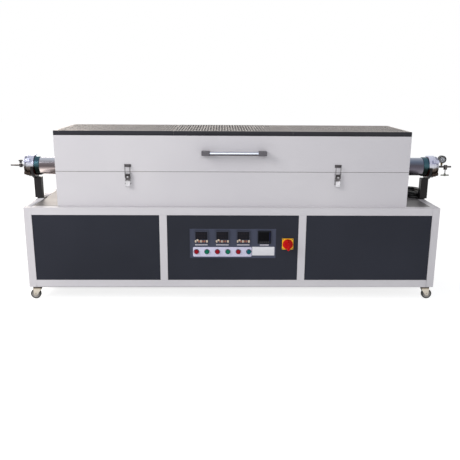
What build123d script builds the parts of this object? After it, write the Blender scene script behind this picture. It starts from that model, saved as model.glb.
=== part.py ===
from build123d import *
import os
from math import cos, pi, radians, sin, tan

# Three-zone split tube furnace on a wheeled cabinet, in millimetres.
# X runs along the work tube, Y from front to back, Z up from the floor.
# The origin is on the floor, midway along the cabinet and midway between
# the foremost point (the isolator knob) and the rear face of the cabinet.

# ---------------------------------------------------------------- cabinet
cabinet_length = 2200.0
cabinet_depth = 540.0
cabinet_height = 440.0
caster_height = 80.0
frame_tube = 40.0
frame_wall = 2.0
mid_post_x = 370.0
panel_sheet = 2.0
panel_recess = 2.0
sheet_gap = 0.3
deck_sheet = 3.0
louvre_count = 9
louvre_pitch = 22.0
louvre_width = 240.0
louvre_height = 6.0

# ---------------------------------------------------------------- furnace body
end_shelf = 170.0
furnace_setback = 40.0
base_height = 185.0
lid_height = 188.0
shell_wall = 2.0
rim_lip = 24.0
parting_gap = 2.4
cover_height = 24.0
cover_sheet = 1.5
cover_count = 3
cover_seam = 1.0
lid_insulation_height = 150.0
chamber_radius = 82.0
chamber_end = 60.0
zone_count = 3
zone_gap = 12.0
heater_radius = 7.0
heater_circle = 82.0
heater_angle = 42.0
groove_clearance = 0.3
lid_open_angle = 85.0

# ---------------------------------------------------------------- work tube and flanges
tube_radius = 50.0
tube_bore_radius = 47.0
tube_notch = 5.0
collar_clearance = 1.0
seat_clearance = 0.3
ring_inset = 2.0
ring_width = 28.0
ring_radius = 62.0
clamp_width = 28.0
clamp_radius = 54.0
tube_seat = 22.0
seal_section = 2.5
seal_proud = 0.1
cut_overrun = 1.0
face_seal_radius = 56.0
ear_angles = (30.0, 150.0, 210.0, 330.0)
ear_width = 18.0
ear_reach = 76.0
ear_root = 8.0
ear_length = 12.0
screw_circle = 68.0
screw_radius = 4.0
screw_knob_radius = 9.0
screw_knob_length = 13.0
screw_tip_gap = 1.0
cap_gap = 0.5
cap_disc = 8.0
cap_core_radius = 44.0
cap_length = 24.0
fin_count = 3
fin_thickness = 3.0
fin_radius = 57.0
plug_rod_radius = 5.0
plug_radius = 45.5
plug_length = 90.0
plug_standoff = 24.0
cap_travel = 200.0

# ---------------------------------------------------------------- tube posts
post_size = 40.0
post_inset = 8.0
post_depth = 36.0
foot_width = 44.0
foot_depth = 38.0
foot_sheet = 5.0
saddle_width = 14.0
saddle_wall = 10.0

# ---------------------------------------------------------------- gas fittings
pipe_radius = 4.8
stub_radius = 4.0
outlet_pipe_radius = 5.8
outlet_stub_radius = 5.0
pipe_reach = 140.0
stub_length = 20.0
nut_radius = 12.0
nut_length = 12.0
valve_reach = 84.0
valve_body_radius = 9.0
valve_body_drop = 11.0
valve_body_rise = 9.0
valve_stem_radius = 2.5
valve_stem_top = 27.0
valve_knob_radius = 11.0
valve_knob_bottom = 13.0
valve_knob_height = 17.0
valve_waist_height = 7.65
valve_waist_radius = 4.95
valve_skirt_radius = 8.25
valve_knob_chamfer = 2.5
shaft_clearance = 0.05
gauge_reach = 85.0
gauge_rise = 42.0
gauge_radius = 21.5
gauge_depth = 26.0
gauge_stem_radius = 4.5
outlet_reach = 109.0
outlet_body_radius = 10.0
outlet_body_drop = 16.0
outlet_body_rise = 10.0
tee_drop = 46.0
tee_length = 45.0
tee_radius = 4.0
tee_hub_radius = 6.0
tee_hub_height = 14.0
tee_stem_depth = 6.0
tee_bar_drop = 2.0
dial_depth = 3.0
gauge_rim = 2.5

# ---------------------------------------------------------------- control panel
window_x = 0.0
window_z = 245.0
window_width = 461.0
window_height = 163.0
window_overlap = 10.0
instrument_size = 72.0
instrument_body = 66.0
instrument_body_depth = 80.0
instrument_bezel = 7.0
instrument_corner = 2.0
instrument_z = 281.0
controller_first_x = -168.0
controller_pitch = 112.0
controller_count = 3
recorder_x = 168.5
button_z = 200.0
button_first_x = -195.0
button_pitch = 56.2
button_count = 6
bezel_radius = 14.0
bezel_depth = 5.0
barrel_radius = 10.8
barrel_depth = 40.0
button_radius = 9.4
button_proud = 4.5
button_length = 16.0
button_travel = 3.0
button_edge = 1.2
button_run_out = 2.0
isolator_x = 294.0
isolator_z = 243.5
isolator_size = 60.0
isolator_plate = 3.0
isolator_body = 52.0
isolator_body_depth = 45.0
knob_reach = 45.0
knob_radius = 27.5
knob_disc = 12.0
grip_width = 15.0
knob_shaft_radius = 4.0
knob_shaft_length = 10.0
bore_run_out = 1.0

# ---------------------------------------------------------------- handle, latches, hinges
handle_x = 4.0
handle_z = 285.0
handle_length = 338.0
bracket_width = 43.0
bracket_height = 22.0
bracket_edge = 3.0
bar_radius = 10.0
grip_gap = 28.0
latch_x = 552.0
latch_base_width = 35.0
latch_base_height = 62.0
latch_base_drop = 5.0
latch_sheet = 3.0
ear_thickness = 3.0
latch_ear_inside = 14.5
latch_ear_reach = 4.0
latch_ear_margin = 4.0
lever_pivot_drop = 17.0
lever_pivot_out = 9.0
lever_pin_radius = 2.5
lever_half_width = 11.0
lever_eye_radius = 5.3
lever_length = 54.0
lever_thickness = 8.0
lever_face = 17.0
lever_tail_lift = 3.0
lever_tail_drop = 5.0
lever_tail_lap = 4.0
lever_eye_drop = 4.0
lever_overrun = 1.0
bail_drop = 15.0
bail_out = 14.0
bail_wire_radius = 1.5
bail_leg_x = 12.75
bail_height = 64.0
bail_pin_inside = 7.0
keeper_height = 15.0
keeper_clearance = 0.5
keeper_lip = 5.0
keeper_lip_half_width = 10.0
hinge_positions = (-800.0, -280.0, 280.0, 800.0)
hinge_length = 120.0
knuckle_radius = 6.0
hinge_pin_radius = 3.0
knuckle_gap = 0.5
hinge_wall_gap = 1.0
leaf_sheet = 3.0
leaf_height = 34.0
leaf_clearance = 8.0
leaf_root = 3.0

# ---------------------------------------------------------------- casters
caster_inset = 25.0
caster_plate = 50.0
caster_plate_sheet = 4.0
raceway_radius = 16.0
raceway_height = 8.0
wheel_radius = 27.5
wheel_width = 20.0
wheel_fillet = 3.0
axle_radius = 4.0
trail = 6.0
fork_sheet = 3.0
fork_clearance = 2.0
cheek_foot = 8.0
cheek_below_pedal = 5.0
cheek_back_drop = 14.0
fork_reach_past_pedal = 6.0
kingpin_radius = 4.0
kingpin_head = 7.0
kingpin_head_height = 2.0
fork_top_sheet = 4.0
pedal_out = 18.0
pedal_z = 57.5
pedal_hub_radius = 4.0
pedal_pin_radius = 2.0
pedal_length = 22.0
pedal_tilt = 40.0
pedal_sheet = 3.5
left_caster_turn = 0.0
right_caster_turn = 180.0

# ---------------------------------------------------------------- inner parts
sheath_radius = 4.0
sheath_drop = 24.0
sheath_tip_gap = 8.0
head_radius = 15.0
head_length = 26.0
module_width = 150.0
module_depth = 140.0
module_height = 110.0
module_base = 30.0
module_pitch = 210.0
module_fin_count = 7
module_fin = 4.0
tray_sheet = 2.0

# ---------------------------------------------------------------- supply cable
cable_radius = 6.0
gland_gap = 27.0
gland_forward = 75.0
gland_hex_radius = 14.0
gland_nut = 8.0
gland_height = 30.0
gland_thread = 10.0
gland_thread_drop = 12.0
gland_shoulder = 11.0
gland_mouth = 8.0
coil_inset = 35.0
coil_back = 118.0
coil_edge_radius = 4.8
route_bend_share = 0.45
coil_turn_radius = 59.0
coil_straight = 60.0
coil_layers = 3
coil_rows = 2

# ---------------------------------------------------------------- worked out from the above
frame_bottom = caster_height
frame_top = frame_bottom + cabinet_height
half_length = cabinet_length / 2
front = (knob_reach - cabinet_depth) / 2
rear = front + cabinet_depth
half_furnace = half_length - end_shelf
furnace_length = 2 * half_furnace
furnace_front = front + furnace_setback
furnace_rear = rear - furnace_setback
furnace_x = (-half_furnace, half_furnace)
furnace_y = (furnace_front, furnace_rear)
axis_y = (furnace_front + furnace_rear) / 2
zone_length = (furnace_length - 2 * chamber_end) / zone_count
zone_centres = [(index - (zone_count - 1) / 2) * zone_length for index in range(zone_count)]
parting = frame_top + base_height
lid_top = parting + lid_height
base_rim = parting - parting_gap / 2
lid_rim = parting + parting_gap / 2
ring_start = half_length - ring_inset
ring_end = ring_start + ring_width
tube_end = ring_start + tube_seat
cap_start = ring_end + cap_gap
cap_end = cap_start + cap_length
post_x = half_length - post_inset
pipe_end = half_length + pipe_reach
valve_x = half_length + valve_reach
gauge_x = half_length + gauge_reach
outlet_valve_x = half_length + outlet_reach
panel_back = front + panel_recess + panel_sheet
plate_front = panel_back
plate_back = plate_front + panel_sheet
hinge_y = furnace_rear + knuckle_radius + hinge_wall_gap
hinge_z = parting
caster_x = half_length - caster_inset
caster_y = front + caster_inset + frame_tube / 2
rear_caster_y = rear - caster_inset - frame_tube / 2
latch_pivot_z = parting - lever_pivot_drop
latch_pivot_y = furnace_front - lever_pivot_out
bail_y = furnace_front - bail_out
bail_z = latch_pivot_z - bail_drop
crossbar_z = bail_z + bail_height
handle_height = frame_top + handle_z
bar_y = furnace_front - grip_gap - bar_radius
isolator_face = front + panel_recess - isolator_plate
bay_z = (frame_bottom + frame_tube + sheet_gap, frame_top - frame_tube - sheet_gap)
outer_bay = (mid_post_x + frame_tube / 2 + sheet_gap, half_length - frame_tube - sheet_gap)
centre_bay = (sheet_gap - mid_post_x + frame_tube / 2, mid_post_x - frame_tube / 2 - sheet_gap)
end_bay = (front + frame_tube + sheet_gap, rear - frame_tube - sheet_gap)
panel_z = frame_bottom + window_z
instrument_height = frame_bottom + instrument_z
button_height = frame_bottom + button_z
isolator_height = frame_bottom + isolator_z
instrument_places = [controller_first_x + index * controller_pitch for index in range(controller_count)]
instrument_places.append(recorder_x)
button_places = [button_first_x + index * button_pitch for index in range(button_count)]
leg_inside = wheel_width / 2 + fork_clearance
leg_outside = leg_inside + fork_sheet
plate_bottom = caster_height - caster_plate_sheet
race_bottom = plate_bottom - raceway_height
fork_top = race_bottom - seat_clearance
gland_x = half_furnace + gland_gap
gland_y = axis_y - gland_forward
coil_x = half_length - coil_inset
coil_y = axis_y + coil_back
front_casters = {"left": (-caster_x, left_caster_turn), "right": (caster_x, right_caster_turn)}
wheel_places = {
    "left_front": (-caster_x, caster_y, left_caster_turn, -trail),
    "right_front": (caster_x, caster_y, right_caster_turn, -trail),
    "left_rear": (-caster_x, rear_caster_y, 0.0, 0.0),
    "right_rear": (caster_x, rear_caster_y, 0.0, 0.0),
}
# The cable's way from the gland: steps back from its centre and height over the deck.
cable_steps = [
    (0.0, 0.0, gland_height), (0.0, 0.0, 90.0), (5.0, 43.0, 130.0), (13.0, 106.0, 124.0),
    (21.0, 163.0, 77.0), (31.0, 210.0, 28.0), (55.0, 254.0, 7.0), (99.0, 279.0, cable_radius),
]


def slab(x, y, z):
    """A box between two values on each axis."""
    centre = Pos((x[0] + x[1]) / 2, (y[0] + y[1]) / 2, (z[0] + z[1]) / 2)
    return centre * Box(x[1] - x[0], y[1] - y[0], z[1] - z[0])


def rod(start, end, radius):
    """A round bar from one point to another."""
    line = Vector(*end) - Vector(*start)
    base = Plane(origin=start, z_dir=line)
    return base * Cylinder(radius, line.length, align=(Align.CENTER, Align.CENTER, Align.MIN))


def along_tube(side, start, end, radius):
    """A round bar on the work tube's axis, from one distance out to another."""
    return rod((side * start, axis_y, parting), (side * end, axis_y, parting), radius)


def mirrored(start, end, side):
    """The span on X that mirrors start..end when side is -1."""
    return (start, end) if side > 0 else (-end, -start)


def save(name, *shapes):
    """Write one node as a group of its separate solids."""
    solids = []
    for shape in shapes:
        solids.extend(shape.solids())
    export_step(Compound(solids), os.path.join("parts", name + ".step"))


# ---------------------------------------------------------------- cabinet
def tube_between(x, y, z, axis):
    """A square tube that is open at both ends along the named axis."""
    inner = {
        "x": (x, (y[0] + frame_wall, y[1] - frame_wall), (z[0] + frame_wall, z[1] - frame_wall)),
        "y": ((x[0] + frame_wall, x[1] - frame_wall), y, (z[0] + frame_wall, z[1] - frame_wall)),
        "z": ((x[0] + frame_wall, x[1] - frame_wall), (y[0] + frame_wall, y[1] - frame_wall), z),
    }
    return slab(x, y, z) - slab(*inner[axis])


def corner_post(side, near):
    """A corner post, closed on top where its end shows."""
    x = mirrored(half_length - frame_tube, half_length, side)
    y = (near, near + frame_tube)
    hollow = slab(
        (x[0] + frame_wall, x[1] - frame_wall),
        (y[0] + frame_wall, y[1] - frame_wall),
        (frame_bottom, frame_top - frame_wall),
    )
    return slab(x, y, (frame_bottom, frame_top)) - hollow


def frame_tubes():
    """The welded frame: posts, rails all round and cross rails under the sheets."""
    rows = (front, rear - frame_tube)
    levels = (frame_bottom, frame_top - frame_tube)
    tubes = [corner_post(side, near) for side in (-1, 1) for near in rows]
    inner_x = half_length - frame_tube
    inner_y = (front + frame_tube, rear - frame_tube)
    for near in rows:
        for low in levels:
            rail_z = (low, low + frame_tube)
            tubes.append(tube_between((-inner_x, inner_x), (near, near + frame_tube), rail_z, "x"))
        for side in (-1, 1):
            post = mirrored(mid_post_x - frame_tube / 2, mid_post_x + frame_tube / 2, side)
            post_z = (frame_bottom + frame_tube, frame_top - frame_tube)
            tubes.append(tube_between(post, (near, near + frame_tube), post_z, "z"))
    for side in (-1, 1):
        end_rail = mirrored(inner_x, half_length, side)
        cross_rail = mirrored(mid_post_x - frame_tube / 2, mid_post_x + frame_tube / 2, side)
        for low, sheet in zip(levels, (tray_sheet, deck_sheet)):
            tubes.append(tube_between(end_rail, inner_y, (low, low + frame_tube), "y"))
            tubes.append(tube_between(cross_rail, inner_y, (low, low + frame_tube - sheet), "y"))
    return tubes


def louvred(x):
    """A rear panel with a stack of cooling slots."""
    panel = slab(x, (rear - panel_recess - panel_sheet, rear - panel_recess), bay_z)
    middle_x = (x[0] + x[1]) / 2
    middle_z = (bay_z[0] + bay_z[1]) / 2
    for index in range(louvre_count):
        height = middle_z + (index - (louvre_count - 1) / 2) * louvre_pitch
        cut = Pos(middle_x, rear, height) * Box(louvre_width, frame_tube, louvre_height)
        panel = panel - cut
    return panel


def cabinet_panels():
    """Blank front and end panels, and three louvred rear panels."""
    face = (front + panel_recess, front + panel_recess + panel_sheet)
    panels = [louvred(centre_bay)]
    for side in (-1, 1):
        bay = mirrored(*outer_bay, side)
        end_x = mirrored(half_length - panel_recess - panel_sheet, half_length - panel_recess, side)
        panels.append(slab(bay, face, bay_z))
        panels.append(louvred(bay))
        panels.append(slab(end_x, end_bay, bay_z))
    return panels


def level_sheet(top, thickness):
    """A flat sheet between the rails, flush with their top."""
    x = half_length - frame_tube - sheet_gap
    return slab((-x, x), end_bay, (top - thickness, top))


def top_deck():
    """The deck under the furnace, with the hole for the cable gland."""
    hole = rod((gland_x, gland_y, frame_bottom), (gland_x, gland_y, lid_top), gland_thread)
    return level_sheet(frame_top, deck_sheet) - hole


def floor_tray():
    """The tray that carries the power modules."""
    return level_sheet(frame_bottom + frame_tube, tray_sheet)


def power_modules():
    """One finned power controller for each heating zone, and a contactor."""
    floor = frame_bottom + frame_tube
    near = axis_y - module_depth / 2
    blocks = []
    for zone in range(zone_count):
        middle = (zone - (zone_count - 1) / 2) * module_pitch
        x = (middle - module_width / 2, middle + module_width / 2)
        block = slab(x, (near, near + module_depth), (floor, floor + module_base))
        step = (module_width - module_fin) / (module_fin_count - 1)
        for index in range(module_fin_count):
            left = x[0] + index * step
            block += slab((left, left + module_fin), (near, near + module_depth),
                          (floor, floor + module_height))
        blocks.append(block)
    return blocks


# ---------------------------------------------------------------- control panel
def control_panel():
    """The centre panel with the instrument window and the isolator's hole."""
    face = (front + panel_recess, panel_back)
    panel = slab(centre_bay, face, bay_z)
    panel -= Pos(window_x, front, panel_z) * Box(window_width, frame_tube, window_height)
    side = isolator_body + 2 * sheet_gap
    return panel - Pos(isolator_x, front, isolator_height) * Box(side, frame_tube, side)


def instrument_plate():
    """The recessed plate behind the window, cut for instruments and buttons."""
    width = window_width + 2 * window_overlap
    height = window_height + 2 * window_overlap
    middle = Pos(window_x, (plate_front + plate_back) / 2, panel_z)
    plate = middle * Box(width, panel_sheet, height)
    opening = instrument_body + 2 * sheet_gap
    for x in instrument_places:
        plate -= Pos(x, plate_front, instrument_height) * Box(opening, frame_tube, opening)
    for x in button_places:
        plate -= rod((x, front, button_height), (x, axis_y, button_height), barrel_radius + sheet_gap)
    return plate


def instrument_case(x):
    """A panel instrument: a square bezel in front of a deep square body."""
    bezel = Pos(x, plate_front - instrument_bezel / 2, instrument_height)
    bezel = bezel * Box(instrument_size, instrument_bezel, instrument_size)
    bezel = fillet(bezel.edges().filter_by(Axis.Y), instrument_corner)
    body = Pos(x, plate_front + instrument_body_depth / 2, instrument_height)
    return bezel + body * Box(instrument_body, instrument_body_depth, instrument_body)


def button_bezel(x):
    """A push button's chrome ring and barrel, hollow for the cap."""
    ring_face = plate_front - bezel_depth
    ring = rod((x, ring_face, button_height), (x, plate_front, button_height), bezel_radius)
    barrel_end = plate_front + barrel_depth
    ring += rod((x, plate_front, button_height), (x, barrel_end, button_height), barrel_radius)
    bottom = ring_face + button_length + button_travel + button_run_out
    hollow = rod((x, ring_face, button_height), (x, bottom, button_height), button_radius + seat_clearance)
    return ring - hollow


def button_cap(x):
    """A push button's cap, proud of its ring by a little more than its travel."""
    near = plate_front - bezel_depth - button_proud
    cap = rod((x, near, button_height), (x, near + button_length, button_height), button_radius)
    return fillet(cap.edges().group_by(Axis.Y)[0], button_edge)


def switch_plate():
    """The isolator's yellow plate, the switch body behind it and the shaft."""
    plate = Pos(isolator_x, isolator_face + isolator_plate / 2, isolator_height)
    plate = plate * Box(isolator_size, isolator_plate, isolator_size)
    back = isolator_face + isolator_plate
    half = isolator_body / 2
    body = slab(
        (isolator_x - half, isolator_x + half),
        (back, back + isolator_body_depth),
        (isolator_height - half, isolator_height + half),
    )
    shaft = rod((isolator_x, isolator_face, isolator_height),
                (isolator_x, isolator_face - knob_shaft_length, isolator_height), knob_shaft_radius)
    return plate + body + shaft


def switch_knob():
    """The red rotary knob: a disc with a raised bar grip."""
    back = isolator_face - seat_clearance
    outer = front - knob_reach
    centre = (isolator_x, back, isolator_height)
    disc = rod(centre, (isolator_x, back - knob_disc, isolator_height), knob_radius)
    grip = slab(
        (isolator_x - grip_width / 2, isolator_x + grip_width / 2),
        (outer, back - knob_disc / 2),
        (isolator_height - knob_radius, isolator_height + knob_radius),
    )
    grip &= rod(centre, (isolator_x, outer, isolator_height), knob_radius)
    bore_end = isolator_face - knob_shaft_length - bore_run_out
    bore = rod(centre, (isolator_x, bore_end, isolator_height), knob_shaft_radius + shaft_clearance)
    return disc + grip - bore


# ---------------------------------------------------------------- furnace body
def inset(span, amount):
    """A span made smaller by the same amount at both ends."""
    return (span[0] + amount, span[1] - amount)


def sheath_bores(radius):
    """The round paths of the thermocouples through the rear wall."""
    height = parting - sheath_drop
    outside = furnace_rear + head_length
    return [rod((x, axis_y, height), (x, outside, height), radius) for x in zone_centres]


def hollow_shell(bottom, top, open_top):
    """A sheet-metal box, open on its parting side, with an inward rim lip."""
    inner_x = inset(furnace_x, shell_wall)
    inner_y = inset(furnace_y, shell_wall)
    shell = slab(furnace_x, furnace_y, (bottom, top))
    shell -= slab(inner_x, inner_y, (bottom + shell_wall, top - shell_wall))
    mouth = (bottom + shell_wall, top) if open_top else (bottom, top - shell_wall)
    shell -= slab(inset(furnace_x, rim_lip), inset(furnace_y, rim_lip), mouth)
    notch = tube_radius + tube_notch
    return shell - rod((-half_length, axis_y, parting), (half_length, axis_y, parting), notch)


def furnace_base_shell():
    """The lower casing, standing on the deck."""
    shell = hollow_shell(frame_top, base_rim, True)
    for bore in sheath_bores(sheath_radius + seat_clearance):
        shell -= bore
    return shell


def heater_rods(upper, radius):
    """Heater rods beside the tube in every zone, two in each half."""
    rods = []
    sign = 1 if upper else -1
    for middle in zone_centres:
        half = (zone_length - zone_gap) / 2
        for side in (-1, 1):
            y = axis_y + side * heater_circle * cos(radians(heater_angle))
            z = parting + sign * heater_circle * sin(radians(heater_angle))
            rods.append(rod((middle - half, y, z), (middle + half, y, z), radius))
    return rods


def carve_chamber(block, upper):
    """Cut the heating chamber, the tube's end collars and the heater grooves."""
    half = half_furnace - chamber_end
    block -= rod((-half, axis_y, parting), (half, axis_y, parting), chamber_radius)
    collar = tube_radius + collar_clearance
    block -= rod((-half_length, axis_y, parting), (half_length, axis_y, parting), collar)
    for groove in heater_rods(upper, heater_radius + groove_clearance):
        block -= groove
    return block


def lower_insulation():
    """Fibre block that fills the base, and the blanket strip on its rim."""
    inner_x = inset(furnace_x, shell_wall + sheet_gap)
    inner_y = inset(furnace_y, shell_wall + sheet_gap)
    below_lip = base_rim - shell_wall - sheet_gap
    within_lip = inset(furnace_x, rim_lip + sheet_gap)
    within_lip_y = inset(furnace_y, rim_lip + sheet_gap)
    top = parting - seat_clearance / 2
    block = slab(inner_x, inner_y, (frame_top + shell_wall, below_lip))
    block += slab(within_lip, within_lip_y, (below_lip, top))
    block = carve_chamber(block, False)
    for bore in sheath_bores(sheath_radius + seat_clearance):
        block -= bore
    strip = slab(furnace_x, furnace_y, (base_rim, lid_rim - seat_clearance))
    strip -= slab(inset(furnace_x, rim_lip), inset(furnace_y, rim_lip), (frame_top, lid_top))
    strip -= rod((-half_length, axis_y, parting), (half_length, axis_y, parting), tube_radius + tube_notch)
    return [block, strip]


def lid_shell():
    """The upper casing."""
    return hollow_shell(lid_rim, lid_top, False)


def upper_insulation():
    """Fibre block that hangs on the lid's rim lip."""
    inner_x = inset(furnace_x, shell_wall + sheet_gap)
    inner_y = inset(furnace_y, shell_wall + sheet_gap)
    above_lip = lid_rim + shell_wall
    bottom = parting + seat_clearance / 2
    within_lip = inset(furnace_x, rim_lip + sheet_gap)
    within_lip_y = inset(furnace_y, rim_lip + sheet_gap)
    block = slab(inner_x, inner_y, (above_lip, parting + lid_insulation_height))
    block += slab(within_lip, within_lip_y, (bottom, above_lip))
    return carve_chamber(block, True)


def vent_covers():
    """Folded covers side by side on top of the lid."""
    covers = []
    width = furnace_length / cover_count
    for index in range(cover_count):
        left = -half_furnace + index * width
        x = (left + cover_seam / 2, left + width - cover_seam / 2)
        cover = slab(x, furnace_y, (lid_top, lid_top + cover_height))
        cover -= slab(inset(x, cover_sheet), inset(furnace_y, cover_sheet),
                      (lid_top, lid_top + cover_height - cover_sheet))
        covers.append(cover)
    return covers


def thermocouples():
    """Sheathed probes through the rear wall, each with a round head."""
    probes = []
    height = parting - sheath_drop
    tip = axis_y + tube_radius + sheath_tip_gap
    for x in zone_centres:
        probe = rod((x, tip, height), (x, furnace_rear + head_length, height), sheath_radius)
        probe += rod((x, furnace_rear, height), (x, furnace_rear + head_length, height), head_radius)
        probes.append(probe)
    return probes


# ---------------------------------------------------------------- lid handle and latches
def handle_brackets():
    """The two end blocks that hold the bar off the lid."""
    blocks = []
    outer = bar_y - bar_radius
    for side in (-1, 1):
        end = handle_x + side * handle_length / 2
        inner = end - side * bracket_width
        block = slab((min(end, inner), max(end, inner)), (outer, furnace_front),
                     (handle_height - bracket_height / 2, handle_height + bracket_height / 2))
        blocks.append(fillet(block.edges().group_by(Axis.Y)[0], bracket_edge))
    return blocks


def handle_bar():
    """The round bar between the end blocks."""
    reach = handle_length / 2 - bracket_width
    left_end = (handle_x - reach, bar_y, handle_height)
    return rod(left_end, (handle_x + reach, bar_y, handle_height), bar_radius)


def latch_base(x):
    """A draw latch's base plate, its two ears and the lever's pin."""
    top = parting - latch_base_drop
    face = furnace_front - latch_sheet
    half = latch_base_width / 2
    plate = slab((x - half, x + half), (face, furnace_front), (top - latch_base_height, top))
    for side in (-1, 1):
        inside = x + side * latch_ear_inside
        outside = inside + side * ear_thickness
        span = (min(inside, outside), max(inside, outside))
        plate += slab(span, (latch_pivot_y - latch_ear_reach, face), inset((bail_z, top), latch_ear_margin))
    reach = latch_ear_inside + ear_thickness
    left_end = (x - reach, latch_pivot_y, latch_pivot_z)
    return plate + rod(left_end, (x + reach, latch_pivot_y, latch_pivot_z), lever_pin_radius)


def latch_lever(x):
    """The lever between the ears, with an eye on the pin and a lifted tail."""
    width = (x - lever_half_width, x + lever_half_width)
    outer = furnace_front - lever_face
    middle = outer + lever_thickness / 2
    tail = latch_pivot_z - lever_length
    pivot = ((width[0], latch_pivot_y, latch_pivot_z), (width[1], latch_pivot_y, latch_pivot_z))
    eye = rod(*pivot, lever_eye_radius)
    lever = slab(width, (outer, outer + lever_thickness), (tail, latch_pivot_z)) + eye
    lever += slab(width, (outer - lever_tail_lift, middle), (tail - lever_tail_drop, tail + lever_tail_lap))
    corner_z = (latch_pivot_z - lever_eye_drop, latch_pivot_z + lever_overrun)
    lever -= slab(width, (outer - lever_overrun, middle), corner_z) - eye
    lever -= rod(*pivot, lever_pin_radius + shaft_clearance)
    wire_hole = bail_wire_radius + shaft_clearance
    return lever - rod((width[0], bail_y, bail_z), (width[1], bail_y, bail_z), wire_hole)


def latch_bail(x):
    """The wire loop: two legs, a crossbar above and two pins in the lever."""
    bail = rod((x - bail_leg_x, bail_y, crossbar_z), (x + bail_leg_x, bail_y, crossbar_z), bail_wire_radius)
    for side in (-1, 1):
        leg = x + side * bail_leg_x
        bail += rod((leg, bail_y, bail_z), (leg, bail_y, crossbar_z), bail_wire_radius)
        bail += Pos(leg, bail_y, crossbar_z) * Sphere(bail_wire_radius)
        bail += Pos(leg, bail_y, bail_z) * Sphere(bail_wire_radius)
        bail += rod((leg, bail_y, bail_z), (x + side * bail_pin_inside, bail_y, bail_z), bail_wire_radius)
    return bail


def latch_keeper(x):
    """The keeper on the lid: a plate with a lip that ends short of the bail."""
    bottom = crossbar_z - keeper_height / 2
    face = furnace_front - latch_sheet
    half = latch_base_width / 2
    plate = slab((x - half, x + half), (face, furnace_front), (bottom, bottom + keeper_height))
    lip = bail_y + bail_wire_radius + keeper_clearance
    lip_z = (crossbar_z - keeper_lip / 2, crossbar_z + keeper_lip / 2)
    return plate + slab((x - keeper_lip_half_width, x + keeper_lip_half_width), (lip, face), lip_z)


# ---------------------------------------------------------------- hinges
def knuckle(x, low, high):
    """A stretch of hinge barrel beside the rear wall."""
    return rod((x + low, hinge_y, hinge_z), (x + high, hinge_y, hinge_z), knuckle_radius)


def hinge_base(x):
    """The fixed leaf with its two outer knuckles and the pin."""
    half = hinge_length / 2
    third = hinge_length / 6
    wall = (furnace_rear, furnace_rear + leaf_sheet)
    leaf = slab((x - half, x + half), wall, (hinge_z - leaf_height, hinge_z - leaf_clearance))
    for low, high in ((-half, -third - knuckle_gap), (third + knuckle_gap, half)):
        leaf += knuckle(x, low, high)
        leaf += slab((x + low, x + high), wall, (hinge_z - leaf_clearance, hinge_z - leaf_root))
    return leaf + rod((x - half, hinge_y, hinge_z), (x + half, hinge_y, hinge_z), hinge_pin_radius)


def hinge_lid(x):
    """The moving leaf with its middle knuckle."""
    half = hinge_length / 2
    third = hinge_length / 6
    wall = (furnace_rear, furnace_rear + leaf_sheet)
    leaf = slab((x - half, x + half), wall, (hinge_z + leaf_clearance, hinge_z + leaf_height))
    leaf += slab((x - third, x + third), wall, (hinge_z + leaf_root, hinge_z + leaf_clearance))
    leaf += knuckle(x, -third, third)
    pin_hole = hinge_pin_radius + shaft_clearance
    return leaf - rod((x - half, hinge_y, hinge_z), (x + half, hinge_y, hinge_z), pin_hole)


# ---------------------------------------------------------------- work tube and flanges
def work_tube():
    """The polished steel tube through the furnace."""
    outer = rod((-tube_end, axis_y, parting), (tube_end, axis_y, parting), tube_radius)
    return outer - rod((-tube_end, axis_y, parting), (tube_end, axis_y, parting), tube_bore_radius)


def ear(side, angle, start, end):
    """A radial ear around a flange for a thumb screw."""
    root = ring_radius - ear_root
    block = Pos(0, 0, (ear_reach + root) / 2) * Box(end - start, ear_width, ear_reach - root)
    block = Rot(angle - 90.0, 0, 0) * block
    return Pos(side * (start + end) / 2, axis_y, parting) * block


def screw_point(side, angle, x):
    """A point on a thumb screw's line."""
    across = axis_y + screw_circle * cos(radians(angle))
    return (side * x, across, parting + screw_circle * sin(radians(angle)))


def flange_ring(side):
    """The ring on the tube's end, with a seal pocket, a seal groove and ears."""
    ring = along_tube(side, ring_start, ring_end, ring_radius)
    for angle in ear_angles:
        ring += ear(side, angle, ring_end - ear_length, ring_end)
    ring -= along_tube(side, ring_start - cut_overrun, ring_end + cut_overrun, tube_radius + seat_clearance)
    pocket = tube_radius + 2 * seal_section + 2 * seat_clearance
    pocket_end = ring_start + 2 * seal_section + seat_clearance
    ring -= along_tube(side, ring_start - cut_overrun, pocket_end, pocket)
    groove_start = ring_end - 2 * seal_section
    half_groove = seal_section + seat_clearance
    groove = along_tube(side, groove_start, ring_end + cut_overrun, face_seal_radius + half_groove)
    ring -= groove - along_tube(side, groove_start, ring_end + cut_overrun, face_seal_radius - half_groove)
    for angle in ear_angles:
        near = screw_point(side, angle, ring_end - ear_length - cut_overrun)
        far = screw_point(side, angle, ring_end + cut_overrun)
        ring -= rod(near, far, screw_radius + seat_clearance)
    return ring


def clamp_ring(side):
    """The sleeve nut that presses the seal onto the tube."""
    sleeve = along_tube(side, ring_start - clamp_width, ring_start, clamp_radius)
    return sleeve - along_tube(side, ring_start - clamp_width, ring_start, tube_radius + seat_clearance)


def flange_seals(side):
    """The O-ring on the tube and the O-ring in the flange face."""
    seals = []
    for distance, radius in (
        (ring_start + seal_section + seat_clearance, tube_radius + seal_section + seat_clearance),
        (ring_end - seal_section + seal_proud, face_seal_radius),
    ):
        upright = Plane(origin=(side * distance, axis_y, parting), z_dir=(1, 0, 0))
        seals.append(upright * Torus(radius, seal_section))
    return seals


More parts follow.
